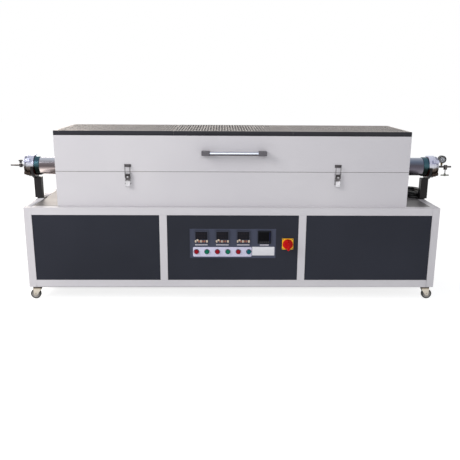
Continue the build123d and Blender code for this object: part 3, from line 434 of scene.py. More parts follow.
fitting_steel = brushed("turned fitting steel", (100, 96, 94), (60, 57, 58), (0.24, 0.4),
                        (1.0, 0.05, 0.05), tint=(84, 80, 78))
latch_steel = cast_metal("dark zinc latch steel", (104, 101, 103), (66, 63, 65), (0.3, 0.5))
latch_plate_steel = cast_metal("bright zinc latch plate", (196, 195, 198), (160, 158, 162), (0.35, 0.5))
tap_plating = cast_metal("dull tap plating", (158, 160, 152), (104, 104, 98), (0.3, 0.5))
hinge_steel = cast_metal("zinc plated hinge steel", (188, 187, 184), (146, 144, 142), (0.32, 0.5))
caster_zinc = cast_metal("zinc caster steel", (196, 190, 178), (150, 142, 130), (0.3, 0.5))
caster_black = paint("black caster plate", (46, 46, 46), (30, 30, 31), (0.35, 0.5))
plain_aluminium = brushed("satin aluminium", (204, 204, 208), (184, 184, 190), (0.35, 0.5),
                          (0.05, 1.0, 1.0))
heater_alloy = cast_metal("oxidised heater alloy", (98, 88, 80), (58, 52, 50), (0.6, 0.8))
probe_steel = brushed("drawn probe steel", (176, 175, 176), (140, 138, 140), (0.3, 0.45),
                      (1.0, 0.04, 1.0))


def tube_steel_painted_reflection():
    """Polished steel with painted reflection bands that follow the height on its wall: pale at the left end
    of the tube, blue grey at the right end."""
    made = Finish("polished furnace tube", metallic=1.0)
    along, _, up = made.axis_parts()
    reach = 52.0     # a little over the radius
    height = made.spread(up, 0.0, 1.0, (PARTING - reach) * MM, (PARTING + reach) * MM)
    streak = made.reckon("MULTIPLY_ADD", made.noise(5.0, 4.0, 0.6, (1.2, 18.0, 18.0)), 0.12, -0.06)
    level = made.reckon("ADD", height, streak)
    # painted reflection: these light and dark bands by height stand in for what the polished wall mirrors
    pale = made.ramp(level, (0.0, (226, 212, 208)), (0.3, (236, 222, 217)),
                     (0.42, (146, 134, 134)), (0.5, (100, 91, 92)), (0.66, (108, 101, 105)),
                     (0.86, (176, 179, 189)), (1.0, (206, 208, 216)))
    blue = made.ramp(level, (0.0, (118, 114, 122)), (0.28, (122, 118, 126)),
                     (0.44, (92, 88, 98)), (0.62, (78, 75, 84)), (0.8, (92, 102, 120)),
                     (1.0, (150, 156, 170)))
    made.colour(made.mixed(made.spread(along, 0.0, 1.0, -0.8, 0.8), pale, blue))
    grain = made.noise(600.0, 4.0, 0.7, (0.03, 1.0, 1.0))
    made.rough(made.spread(made.noise(12.0, 5.0), 0.14, 0.28))
    made.bump((grain, 0.00002))
    return made.material


def flange_steel_painted_reflection():
    """Turned stainless: tool marks round the tube's axis, painted shade in the roots between the fins, a
    green grey clamp sleeve, and painted reflection bands by height, dark brown on the lower half."""
    made = Finish("turned flange steel", metallic=1.0)
    rings = made.noise(1500.0, 2.0, 0.5, (1.0, 0.02, 0.02))
    patch = made.noise(26.0, 5.0, 0.6)
    along, _, up = made.axis_parts()
    reach = 62.0     # a little over the radius
    height = made.spread(up, 0.0, 1.0, (PARTING - reach) * MM, (PARTING + reach) * MM)
    level = made.reckon("ADD", height, made.reckon("MULTIPLY_ADD", patch, 0.2, -0.1))
    # painted reflection: dark brown below the axis, pale blue white above it
    steel = made.ramp(level, (0.0, (40, 34, 32)), (0.34, (66, 56, 50)), (0.47, (104, 96, 92)),
                      (0.56, (204, 205, 214)), (0.76, (176, 178, 200)), (1.0, (196, 200, 218)))
    radius = made.add("ShaderNodeVectorMath", operation="LENGTH")
    across = made.stretched((0.0, 1.0, 1.0), (0.0, -AXIS_Y * MM, -PARTING * MM))
    made.join(across, radius.inputs[0])
    # painted shade: the roots between the fins are darkened where shade falls
    untinted, fin_root_shade, sleeve_green = (255, 255, 255), (56, 56, 66), (80, 116, 120)
    sleeve = made.ramp(made.spread(radius.outputs["Value"], 0.0, 1.0, 0.04, 0.06),
                       (0.0, untinted), (0.1, fin_root_shade), (0.3, fin_root_shade),
                       (0.5, sleeve_green), (0.76, sleeve_green), (0.8, untinted))
    clamp_end = 1.1503
    inside = made.reckon("LESS_THAN", made.reckon("ABSOLUTE", along), clamp_end)
    made.colour(made.mixed(inside, steel, sleeve, "MULTIPLY"))
    made.rough(made.spread(patch, 0.16, 0.3))
    made.bump((rings, 0.00003), (patch, 0.00002))
    return made.material


def banded_plating(name, patch_scale, wander, low, high, *stops):
    """Plated steel whose tone follows the height from low to high, in metres.

    The height is up + wander * (patch - 1/2), so that its bands have uneven borders.
    """
    made = Finish(name, metallic=1.0)
    patch = made.noise(patch_scale, 5.0, 0.65)
    unevenness = made.reckon("MULTIPLY_ADD", patch, wander, -wander / 2)
    height = made.reckon("ADD", made.axis_parts()[2], unevenness)
    made.colour(made.ramp(made.spread(height, 0.0, 1.0, low, high), *stops))
    made.rough(made.spread(patch, 0.3, 0.5))
    made.bump((made.noise(130.0, 3.0), 0.0001))
    return made.material


def bar_chrome_painted_reflection():
    """Chromed bar with painted reflection: bright above, and a painted dark band along its lower side."""
    made = Finish("bright chrome bar", metallic=1.0)
    level = made.spread(made.axis_parts()[2], 0.0, 1.0, 0.796, 0.814)
    # painted reflection: dark below the bar's middle, bright above
    made.colour(made.ramp(level, (0.0, (60, 56, 54)), (0.3, (88, 84, 84)),
                          (0.42, (170, 174, 186)), (1.0, (186, 190, 203))))
    grain = made.noise(700.0, 5.0, 0.7, (0.04, 1.0, 1.0))
    made.rough(made.spread(made.noise(14.0, 6.0, 0.7), 0.12, 0.24))
    made.bump((grain, 0.00002))
    return made.material


def lens(name, light, dark):
    """Coloured push-button lens: deeper in its middle, moulded facets under a smooth face."""
    made = Finish(name, roughness=0.2, Specular_IOR_Level=0.12)
    facet = made.cells(480.0)
    made.colour(made.ramp(made.spread(facet, 0.0, 1.0, 0.0, 0.8), (0.0, light), (1.0, dark)))
    made.bump((facet, 0.0001))
    return made.material


def display_glass(name, light, dark, line_scale):
    """Smoked display window: faint scan lines behind gloss, and a smudge in its sheen."""
    made = Finish(name, roughness=0.2, Specular_IOR_Level=0.05)
    line = made.add("ShaderNodeTexWave", wave_type="BANDS", bands_direction="Z")
    line.inputs["Scale"].default_value = line_scale
    made.join(made.place, line.inputs["Vector"])
    made.colour(made.ramp(line.outputs["Fac"], (0.0, dark), (1.0, light)))
    made.rough(made.spread(made.noise(60.0, 5.0), 0.15, 0.3))
    return made.material


def smeared_glass():
    """Clear glass whose polish is a little uneven."""
    made = Finish("gauge glass", Transmission_Weight=1.0, IOR=1.45)
    made.rough(made.spread(made.noise(70.0, 5.0), 0.02, 0.07))
    return made.material


polished_tube = tube_steel_painted_reflection()
turned_steel = flange_steel_painted_reflection()
# the lever is dark round its pivot and bright towards its tail, banded by height
banded_lever = banded_plating("banded latch lever", 60.0, 0.012, 0.626, 0.69, (0.0, (120, 118, 120)),
                            (0.1, (206, 205, 208)), (0.46, (190, 188, 191)), (0.56, (92, 89, 90)),
                            (1.0, (70, 67, 68)))
# the fork's pale cheeks, under a painted shadow band round its swivel race
fork_zinc_painted_shadow = banded_plating("caster fork zinc", 70.0, 0.008, 0.02, 0.075, (0.0, (178, 172, 162)),
                           (0.62, (206, 198, 184)), (0.74, (150, 140, 126)), (0.84, (64, 60, 57)),
                           (1.0, (50, 47, 46)))
chrome = bar_chrome_painted_reflection()
red_lens = lens("red button lens", (168, 12, 34), (126, 6, 24))
green_lens = lens("green button lens", (14, 130, 98), (4, 92, 72))
teal_lens = lens("teal button lens", (10, 108, 120), (4, 80, 92))
display_black = display_glass("smoked display", (31, 32, 38), (22, 22, 27), 900.0)
screen_black = display_glass("recorder screen", (12, 12, 16), (6, 6, 9), 1400.0)
screen_blue = display_glass("recorder side window", (24, 30, 66), (14, 18, 46), 1400.0)
dial_face = moulded("grey dial face", (196, 200, 210), (180, 185, 197), (0.4, 0.5))
dial_ink = moulded("dial ink", (24, 24, 28), (16, 16, 18), (0.5, 0.6))
brass = brushed("brass neck", (140, 120, 72), (98, 84, 52), (0.3, 0.45), (1.0, 1.0, 0.05))
clear_glass = smeared_glass()
ghost_segment = moulded("unlit segments", (50, 40, 44), (42, 34, 38), (0.4, 0.5), Specular_IOR_Level=0.05)

NODE_GROUPS = (   # each finish, and the nodes that have it
    (white_paint, "frame_tubes", "furnace_base_shell", "lid_shell"),
    (dark_paint, "cabinet_panels", "control_panel"),
    (deck_paint, "top_deck", "floor_tray"),
    (plain_aluminium, "power_modules"),
    (plate_paint, "instrument_plate"),
    (case_plastic, "instrument_cases"),
    (dark_chrome, "button_bezels"),
    (yellow_plastic, "switch_plate"),
    (red_plastic, "switch_knob"),
    (red_lens, "button_1", "button_3", "button_5"),
    (green_lens, "button_2", "button_4"),
    (teal_lens, "button_6"),
    (ceramic_fibre, "lower_insulation", "upper_insulation", "left_heat_plug", "right_heat_plug"),
    (heater_alloy, "lower_heaters", "upper_heaters"),
    (probe_steel, "thermocouples"),
    (cover_paint, "vent_covers"),
    (grey_casting, "handle_brackets"),
    (chrome, "handle_bar"),
    (latch_plate_steel, "latch_bases"),
    (latch_steel, "latch_keepers", "left_latch_bail", "right_latch_bail"),
    (banded_lever, "left_latch_lever", "right_latch_lever"),
    (hinge_steel, "hinge_base_leaves", "hinge_lid_leaves"),
    (polished_tube, "work_tube"),
    (turned_steel, "flange_rings", "left_end_cap", "right_end_cap"),
    (seal_rubber, "flange_seals"),
    (post_paint, "tube_posts"),
    (fitting_steel, "left_gas_fitting", "right_gas_fitting"),
    (tap_plating, "right_valve_handle"),
    (gauge_paint, "pressure_gauge"),
    (black_plastic, "left_valve_knob", "cable_gland"),
    (cable_rubber, "power_cable", "cable_coil"),
    (caster_black, "caster_plates"),
    (fork_zinc_painted_shadow, "left_front_fork", "right_front_fork"),
    (pedal_plastic, "left_brake_pedal", "right_brake_pedal"),
    (tyre_rubber, "left_front_wheel", "right_front_wheel", "left_rear_wheel", "right_rear_wheel"),
)
node_finish = {node: finish for finish, *nodes in NODE_GROUPS for node in nodes}
for node, finish in node_finish.items():
    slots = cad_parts[node].material_slots
    if not slots:
        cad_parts[node].data.materials.append(finish)
    for slot in slots:
        slot.material = finish


# ------------------------------------------------------------------ pieces
CREASE = radians(32.0)       # edges sharper than this stay sharp
CAD_CREASE = radians(40.0)   # the same for pieces made from a CAD node


def shown(name, data):
    """A new object in the scene."""
    made = bpy.data.objects.new(name, data)
    bpy.context.scene.collection.objects.link(made)
    return made


def piece(name, form, finish, body, replaces=()):
    """A new piece from a form in millimetres, in metres and in place, riding on its body."""
    points, faces = form
    mesh = bpy.data.meshes.new(name)
    mesh.from_pydata((points * MM).tolist(), [], faces)
    work = bmesh.new()
    work.from_mesh(mesh)
    bmesh.ops.remove_doubles(work, verts=work.verts, dist=1e-7)
    work.to_mesh(mesh)
    work.free()
    mesh.shade_smooth()
    mesh.set_sharp_from_angle(angle=CREASE)
    mesh.materials.append(finish)
    made = shown(name, mesh)
    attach(made, body)
    if replaces:
        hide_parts(*replaces)
    return made


def softened(node, width, body, slot, name):
    """A CAD node's own shape with its doubles joined, flat faces made whole and edges rounded."""
    work = bmesh.new()
    work.from_mesh(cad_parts[node].data)
    bmesh.ops.remove_doubles(work, verts=work.verts, dist=1e-6)
    bmesh.ops.dissolve_limit(
        work, angle_limit=radians(0.5), use_dissolve_boundaries=False, verts=work.verts, edges=work.edges
    )
    mesh = bpy.data.meshes.new(name)
    work.to_mesh(mesh)
    work.free()
    mesh.shade_smooth()
    mesh.set_sharp_from_angle(angle=CAD_CREASE)
    mesh.materials.clear()
    mesh.materials.append(node_finish[node])
    made = shown(name, mesh)
    edge = made.modifiers.new("rounded edges", "BEVEL")
    edge.width = width * MM
    edge.segments = 2
    edge.limit_method = "ANGLE"
    edge.angle_limit = CAD_CREASE
    edge.harden_normals = True
    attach(made, body)
    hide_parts(node)
    return made


# ------------------------------------------------------------------ supply cable
# how far each point lies from the gland, along X, along Y and above the deck
cable_steps = [(0.0, 0.0, 30.0), (0.0, 0.0, 90.0), (5.0, 43.0, 130.0), (13.0, 106.0, 124.0),
               (21.0, 163.0, 77.0), (31.0, 210.0, 28.0), (55.0, 254.0, 7.0), (99.0, 279.0, 6.0)]
cable_route = [(GLAND[0] + x, GLAND[1] + y, FRAME_TOP + z) for x, y, z in cable_steps]


def coil_turns():
    """Coil of turns round a stadium, clockwise from its rear end, sixteen points a turn.

    Point = centre + R(s) * (sin t, cos t) + (0, +-30), t = 2 pi s. R and the height are carried in
    straight lines between the places where the turns step in, out or up, and the height wavers by a
    quarter of a millimetre, as hand-wound turns do.
    """
    half_straight = 30.0
    per_turn = 16
    place = np.arange(1, 5.6 * per_turn) / per_turn
    outer, inner, rise = 60.2, 47.6, 12.15
    base = FRAME_TOP + CABLE_RADIUS
    radius = np.interp(place, (0.0, 0.86, 0.98, 2.58, 2.7, 4.26, 4.38, 6.0),
                       (outer, outer, inner, inner, outer, outer, inner, inner))
    height = base + np.interp(place, (0.0, 1.72, 1.84, 3.42, 3.54, 6.0),
                              (0, 0, rise, rise, 2 * rise, 2 * rise))
    height += 0.25 * np.sin(place * 5.3) * (place > 0.3)
    turn = 2 * pi * place
    x = COIL[0] + radius * np.sin(turn)
    end = np.sign(np.cos(turn)) * (abs(np.cos(turn)) > 0.01)
    y = COIL[1] + radius * np.cos(turn) + half_straight * end
    return np.stack([x, y, height], -1)


def supply_cable():
    """The cable as one smooth line: the free run and then the coil's turns."""
    points = np.concatenate([np.array(cable_route), coil_turns()]) * MM
    data = bpy.data.curves.new("supply_cable", "CURVE")
    data.dimensions = "3D"
    spline = data.splines.new("NURBS")
    spline.points.add(len(points) - 1)
    spline.points.foreach_set("co", np.column_stack([points, np.ones(len(points))]).ravel())
    spline.order_u = 3
    spline.use_endpoint_u = True
    spline.resolution_u = 6
    data.bevel_depth = CABLE_RADIUS * MM
    data.bevel_resolution = 5
    data.use_fill_caps = True
    data.materials.append(cable_rubber)
    made = shown("supply_cable", data)
    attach(made, "base")
    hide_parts("power_cable", "cable_coil")
    return made, points


cable, cable_points = supply_cable()


def centreline(curve):
    """The cable's own line, read from its spline with no thickness."""
    bare = curve.data.copy()
    bare.bevel_depth = 0.0
    reader = bpy.data.objects.new("line reader", bare)
    mesh = bpy.data.meshes.new_from_object(reader)
    line = np.array([vertex.co for vertex in mesh.vertices])
    bpy.data.objects.remove(reader)
    bpy.data.curves.remove(bare)
    bpy.data.meshes.remove(mesh)
    return line


cable_line = centreline(cable)


def bare_cores(count=5, circle=3.1, sunk=2.0):
    """Stripped cores at the cable's cut end: end + circle * (cos t, sin t) across it, t = 0, 72 .. 288."""
    end_way = cable_line[-1] - cable_line[-4]
    end_way /= np.linalg.norm(end_way)
    end_side = np.cross(end_way, (0, 0, 1.0))
    end_up = np.cross(end_side, end_way)
    core = [(0, 0), (1.35, 0), (1.35, 17.0), (0.8, 17.2), (0.8, 26.0), (0, 26.0)]
    cores = []
    for number in range(count):
        turn = 2 * pi * number / count
        across = circle * (cos(turn) * end_side + sin(turn) * end_up)
        cores.append(lathe(core, cable_line[-1] / MM + across - sunk * end_way, end_way, 12))
    return piece("cable_cores", joined(*cores), key_orange, "base")


core_piece = bare_cores()


# ------------------------------------------------------------------ lid covers
def perforated_cover(x, y, foot, top, columns, rows, hole, fold, plain_left, plain_right):
    """Folded cover with round holes in square cells.

    Cell = centre + half cell * (cos t, sin t) / max(|cos t|, |sin t|) outside and centre + hole *
    (cos t, sin t) inside, t = 15, 45 .. 345 degrees. The fold moves the edge out by fold * sin s and
    down by fold * (1 - cos s), s from 0 to a quarter turn, and then straight down to its foot.
    """
    half_x = (x[1] - x[0] - 2 * fold) / columns / 2
    half_y = (y[1] - y[0] - 2 * fold) / rows / 2
    sides = 12
    turn = radians(15) + 2 * pi * np.arange(sides) / sides
    ring = np.stack([np.cos(turn), np.sin(turn)], -1)
    square = ring / abs(ring).max(-1, keepdims=True) * (half_x, half_y)
    across = x[0] + fold + half_x * (2 * np.arange(columns) + 1)
    deep = y[0] + fold + half_y * (2 * np.arange(rows) + 1)
    centres = np.stack(np.meshgrid(across, deep, indexing="ij"), -1).reshape(-1, 1, 2)
    flat = np.concatenate([centres + square, centres + hole * ring], 1)
    points = np.concatenate([flat, np.full(flat.shape[:2] + (1,), top)], -1).reshape(-1, 3)
    column, row = (index.ravel() for index in np.indices((columns, rows)))
    plain = (row == 0) | (row == rows - 1)
    plain |= (plain_left & (column == 0)) | (plain_right & (column == columns - 1))
    k = np.arange(sides)
    cell = np.stack([k, (k + 1) % sides, (k + 1) % sides + sides, k + sides], -1)
    pierced = (np.flatnonzero(~plain)[:, None, None] * 2 * sides + cell).reshape(-1, 4)
    whole = np.flatnonzero(plain)[:, None] * 2 * sides + k
    sheet = (points, pierced.tolist() + whole.tolist())

    third = 1 - np.tan(radians(15))
    steps_x = ((2 * np.arange(columns)[:, None] + (0.0, third, 2 - third)) * half_x).ravel() + x[0] + fold
    steps_y = ((2 * np.arange(rows)[:, None] + (0.0, third, 2 - third)) * half_y).ravel() + y[0] + fold
    far_x, far_y = x[1] - fold, y[1] - fold
    edge = np.concatenate([
        np.stack([steps_x, np.full(len(steps_x), y[0] + fold)], -1),
        np.stack([np.full(len(steps_y), far_x), steps_y], -1),
        np.stack([x[0] + x[1] - steps_x, np.full(len(steps_x), far_y)], -1),
        np.stack([np.full(len(steps_y), x[0] + fold), y[0] + y[1] - steps_y], -1),
    ])
    middle = np.array(((x[0] + x[1]) / 2, (y[0] + y[1]) / 2))
    reach = np.array(((x[1] - x[0]) / 2, (y[1] - y[0]) / 2)) - fold
    outward = np.sign(edge - middle) * (abs(edge - middle) > reach - 1e-6)
    bend = np.linspace(0, pi / 2, 5)
    out = np.append(fold * np.sin(bend), fold)
    drop = np.append(fold * (1 - np.cos(bend)), top - foot)
    rim = np.concatenate([
        edge[None] + out[:, None, None] * outward[None],
        np.broadcast_to((top - drop)[:, None, None], (len(out), len(edge), 1)),
    ], -1).reshape(-1, 3)
    folded = (rim, quads(len(out), len(edge), False, True)[:, ::-1].tolist())
    return joined(sheet, folded)


def vent_covers(count=3, gap=1.0):
    """The row of folded covers along the lid, a gap apart; only its two ends are left unpierced."""
    width = 2 * HALF_BODY / count
    for number in range(count):
        left = -HALF_BODY + number * width
        span = (left + gap / 2, left + width - gap / 2)
        form = perforated_cover(span, (BODY_FRONT, BODY_REAR), LID_TOP, COVER_TOP, columns=41, rows=30,
                                hole=4.8, fold=3.0, plain_left=number == 0, plain_right=number == count - 1)
        cover = piece(f"vent_cover_{number + 1}", form, cover_paint, "lid", ["vent_covers"])
        sheet = cover.modifiers.new("sheet thickness", "SOLIDIFY")
        sheet.thickness = 1.5 * MM
        sheet.offset = -1.0
        sheet.use_even_offset = True


vent_covers()


# ------------------------------------------------------------------ instrument panel
def on_panel(x, z, width, height, thick=0.6, proud=0.0, corner=1.0, edge=0.25, crown=0.0):
    """A flat piece on the instrument plate or, with proud, on something that stands on it."""
    return tablet((x, PLATE_FACE - proud, z), width, height, thick, corner, edge, "front", crown)


def heads(profile, places, axis, steps=16):
    """The same small turned head at several places, all facing one way."""
    return joined(*[lathe(profile, place, axis, steps) for place in places])


def plates():
    """Legend plate behind the push buttons, and the blank rating plate with a rivet at each end."""
    legend_plate = on_panel(-55.5, 278.3, 315.0, 53.0, corner=6.0)
    piece("button_legend_plate", legend_plate, strip_plastic, "base")
    x, z = RATING_PLATE
    thick = 0.7
    rating_plate = on_panel(x, z, 120.0, 48.0, thick, corner=2.0)
    piece("blank_rating_plate", rating_plate, plain_aluminium, "base")
    rivet = [(0, 0), (2.0, 0), (1.9, 0.5), (1.2, 1.0), (0, 1.15)]
    rivets = heads(rivet, [(x + offset, PLATE_FACE - thick, z) for offset in (-55.0, 55.0)], TO_FRONT)
    piece("rating_plate_rivets", rivets, plain_aluminium, "base")


def digit_lines(left, tall):
    """Seven segments of a digit half as wide as tall: level ones at -1, 0 and 1 half heights, and upright
    ones between them."""
    half = tall / 2
    level = [((left + 0.5, k * half), (left + half - 0.5, k * half)) for k in (-1, 0, 1)]
    upright = [((left + side, k * 0.6), (left + side, k * (half - 0.5)))
               for k in (-1, 1) for side in (0.0, half)]
    return level + upright


def controllers():
    """Three temperature controllers: display, two rows of unlit digits, a round key and flat keys."""
    display_thick = 0.7
    displays, segments, cream_keys, orange_keys = [], [], [], []
    for x in CONTROLLER_X:
        displays.append(on_panel(x, 369.5, 63.0, 43.0, display_thick, CASE_FRONT, 2.0, 0.3))
        for z, tall, left, pitch in ((379.5, 12.0, -24.0, 12.5), (360.5, 9.0, -21.0, 11.5)):
            for digit in range(4):
                centre = (0.0, PLATE_FACE - CASE_FRONT - display_thick, z)
                segments.append(strokes(centre, digit_lines(x + left + digit * pitch, tall), 1.1, 0.08))
        cream_keys.append(on_panel(x - 20.5, 345.0, 11.0, 11.0, 1.6, CASE_FRONT, 5.4, 0.6, 0.3))
        for keys, tall, row in ((cream_keys, 12.5, ((-30.5, 8.0), (-2.0, 7.5), (30.0, 9.5))),
                                (orange_keys, 11.0, ((-12.5, 8.0), (7.0, 6.0), (17.0, 8.0)))):
            for offset, wide in row:
                keys.append(on_panel(x + offset, 338.5, wide, tall, 1.2, CASE_FRONT, 2.0, 0.5, 0.2))
    piece("controller_displays", joined(*displays), display_black, "base")
    piece("controller_segments", joined(*segments), ghost_segment, "base")
    piece("controller_keys", joined(*cream_keys), key_cream, "base")
    piece("controller_orange_keys", joined(*orange_keys), key_orange, "base")


def legend_strips():
    """Bare legend strips, one under each instrument."""
    strips = [on_panel(x, 317.5, 67.0, 5.6, edge=0.2) for x in CONTROLLER_X]
    strips.append(on_panel(RECORDER_X, 317.0, 48.0, 7.0, edge=0.2))
    piece("blank_legend_strips", joined(*strips), label_plastic, "base")


def recorder():
    """Recorder: a frame on its case, and on the frame a screen, a narrow side window and five keys."""
    frame_thick = 0.5
    face = CASE_FRONT + frame_thick
    window_z = INSTRUMENT_Z + 4.0
    front = on_panel(RECORDER_X, INSTRUMENT_Z, 71.0, 71.0, frame_thick, CASE_FRONT, 2.0, 0.3)
    piece("recorder_frame", front, recorder_plastic, "base")
    screen = on_panel(RECORDER_X - 2.5, window_z, 55.0, 48.0, 0.4, face, 1.5)
    piece("recorder_screen", screen, screen_black, "base")
    side_window = on_panel(RECORDER_X + 28.8, window_z, 5.0, 48.0, 0.4, face, 1.0)
    piece("recorder_side_window", side_window, screen_blue, "base")
    keys = [on_panel(RECORDER_X - 22.0 + 11.0 * k, INSTRUMENT_Z - 26.5, 7.5, 4.0, 0.9, face, 1.5, 0.4)
            for k in range(5)]
    piece("recorder_keys", joined(*keys), black_plastic, "base")


def push_buttons():
    """Six chromed rings, each behind the plate and round its own coloured lens."""
    bezel_depth, lens_back = 40.0, -237.0
    ring = [(0, 0), (10.8, 0), (10.8, 40), (13.5, 40), (14.0, 40.5), (14.0, 43.4), (13.5, 44.5),
            (12.8, 45.0), (12.2, 44.9), (11.9, 44.2), (11.8, 43.2), (11.8, 40.3), (9.7, 40.3), (9.7, 24),
            (0, 24)]
    rings = heads(ring, [(x, PLATE_FACE + bezel_depth, BUTTON_Z) for x in BUTTON_X], TO_FRONT, 48)
    piece("button_rings", rings, dark_chrome, "base", ["button_bezels"])
    lens_profile = [(0, 0), (9.4, 0), (9.4, 10.4), (11.4, 10.5), (11.4, 14.6), (11.1, 15.2), (10.4, 15.5),
                    (9.6, 15.55), (8.9, 15.3), (8.4, 15.3), (6.0, 15.7), (3.0, 15.95), (0, 16.0)]
    for number, x in enumerate(BUTTON_X):
        name = f"button_{number + 1}"
        piece(f"{name}_lens", lathe(lens_profile, (x, lens_back, BUTTON_Z), TO_FRONT, 40),
              node_finish[name], name, [name])


def isolator():
    """Isolator: a fluted disc with a grip across it and a bare mark on the grip, and four plate screws."""
    x, z = ISOLATOR
    knob_back, plate_front = -248.8, -248.5
    disc = lathe([(0, 10.7), (4.05, 10.7), (4.05, 0), (26.6, 0, 1), (27.5, 0.9, 1), (27.5, 9.8, 1),
                  (27.0, 11.2, 1), (25.8, 12.0, 1), (19.0, 12.4), (0, 12.6)], (x, knob_back, z), TO_FRONT,
                 96, 12, 0.8)
    grip = tablet((x, knob_back - 11.0, z), 15.0, 54.0, 32.7, 7.2, 2.2)
    piece("isolator_knob", joined(disc, grip), red_plastic, "switch_knob", ["switch_knob"])
    mark = strokes((x, knob_back - 43.5, z), [((0.0, 9.0), (0.0, 23.0))], 2.0, 0.2)
    piece("isolator_mark", mark, label_plastic, "switch_knob")
    screw = [(0, 0), (2.6, 0), (2.5, 0.7), (1.6, 1.3), (1.2, 1.3), (1.2, 0.5), (0, 0.5)]
    places = [(x + a, plate_front, z + b) for a in (-25.5, 25.5) for b in (-25.5, 25.5)]
    piece("isolator_screws", heads(screw, places, TO_FRONT), dark_chrome, "base")


plates()
controllers()
legend_strips()
recorder()
push_buttons()
isolator()


# ------------------------------------------------------------------ furnace body
def rim_seal():
    """Rope seal along the parting line: front, rear, and either side of the tube at both ends."""
    low, high, thick = 703.85, 705.95, 2.0
    over = 0.3          # how far the rope stands out of the casing
    inner = thick - over
    seal = []
    for y in (BODY_FRONT - over, BODY_REAR - inner):
        seal.append(bar((-HALF_BODY - over, y, low), (HALF_BODY + over, y + thick, high), 0.25))
    for side in (-1, 1):
        near = side * HALF_BODY - (over if side < 0 else inner)
        for start, end in ((BODY_FRONT + inner, AXIS_Y - TUBE_NOTCH),
                           (AXIS_Y + TUBE_NOTCH, BODY_REAR - inner)):
            seal.append(bar((near, start, low), (near + thick, end, high), 0.25))
    piece("rim_seal", joined(*seal), shade_grey_rope_seal, "base")


def heaters():
    """Wound wire on ceramic rods, 42 degrees below and above level on an 82 mm circle round the tube."""
    circle, lift = 82.0, radians(42.0)
    across, up = circle * cos(lift), circle * sin(lift)
    rod = [(0, 0), (4.0, 0), (4.2, 0.3), (4.2, 567.7), (4.0, 568.0), (0, 568.0)]
    for name, way, body in (("lower", -1, "base"), ("upper", 1, "lid")):
        wires, rods = [], []
        for zone in ZONES:
            for side in (-1, 1):
                start = (zone - 284.0, AXIS_Y + side * across, PARTING + way * up)
                wires.append(wound_wire((start[0] + 4.0, *start[1:]), 560.0, 5.5, 1.3, 8.0))
                rods.append(lathe(rod, start, (1, 0, 0), 20))
        node = f"{name}_heaters"
        piece(f"{name}_heater_wire", joined(*wires), heater_alloy, body, [node])
        piece(f"{name}_heater_formers", joined(*rods), ceramic_fibre, body, [node])


def thermocouples():
    """A sheathed probe and a knurled head in the middle of each zone, in through the rear wall."""
    height = 681.0
    sheath = [(0, 0), (3.2, 0), (4.0, 0.9), (4.0, 180.0), (0, 180.0)]
    head = [(0, 0), (14.0, 0), (15.0, 1.0), (15.0, 11.5), (14.2, 12.0), (14.2, 13.2), (15.0, 13.8, 1),
            (15.0, 23.6, 1), (14.0, 25.2), (12.0, 26.0), (0, 26.0)]
    probes = []
    for x in ZONES:
        probes.append(lathe(sheath, (x, AXIS_Y + 58.0, height), TO_REAR, 24))
        probes.append(lathe(head, (x, BODY_REAR, height), TO_REAR, 64, 20, 0.7))
    piece("thermocouple_probes", joined(*probes), probe_steel, "base", ["thermocouples"])


rim_seal()
heaters()
thermocouples()

SOFTENED = (   # node, width of its rounded edges, body, slot, new name
    ("frame_tubes", 1.2, "base", "white_paint", "frame_rounded"),
    ("furnace_base_shell", 0.8, "base", "white_paint", "base_casing_rounded"),
    ("lid_shell", 0.8, "lid", "white_paint", "lid_casing_rounded"),
    ("instrument_cases", 0.6, "base", "instrument_black", "instrument_cases_rounded"),
    ("switch_plate", 0.7, "base", "yellow_plastic", "isolator_plate_rounded"),
    ("handle_brackets", 0.8, "lid", "handle_grey", "handle_blocks_rounded"),
    ("handle_bar", 1.0, "lid", "handle_chrome", "handle_bar_rounded"),
    ("latch_bases", 0.5, "base", "zinc_steel", "latch_bases_rounded"),
    ("latch_keepers", 0.5, "lid", "zinc_steel", "latch_keepers_rounded"),
    ("hinge_base_leaves", 0.5, "base", "zinc_steel", "fixed_leaves_rounded"),
    ("hinge_lid_leaves", 0.5, "lid", "zinc_steel", "moving_leaves_rounded"),
    ("flange_rings", 0.8, "base", "polished_steel", "flange_rings_rounded"),
    ("tube_posts", 1.2, "base", "post_black", "tube_posts_rounded"),
    ("right_valve_handle", 0.8, "right_valve_handle", "fitting_steel", "tap_handle_rounded"),
    ("pressure_gauge", 0.7, "right_cap", "gauge_black", "gauge_case_rounded"),
    ("caster_plates", 0.5, "base", "caster_zinc", "caster_plates_rounded"),
    ("cable_gland", 0.5, "base", "gland_black", "gland_rounded"),
)
for row in SOFTENED:
    softened(*row)
for name in ("left", "right"):
    softened(f"{name}_latch_lever", 0.5, f"{name}_latch_lever", "zinc_steel", f"{name}_lever_rounded")
    softened(f"{name}_end_cap", 0.5, f"{name}_cap", "polished_steel", f"{name}_cap_rounded")
    softened(f"{name}_gas_fitting", 0.5, f"{name}_cap", "fitting_steel", f"{name}_fitting_rounded")
    softened(f"{name}_front_fork", 0.5, f"{name}_front_fork", "caster_zinc", f"{name}_fork_rounded")
    softened(f"{name}_brake_pedal", 0.6, f"{name}_brake_pedal", "pedal_black", f"{name}_pedal_rounded")


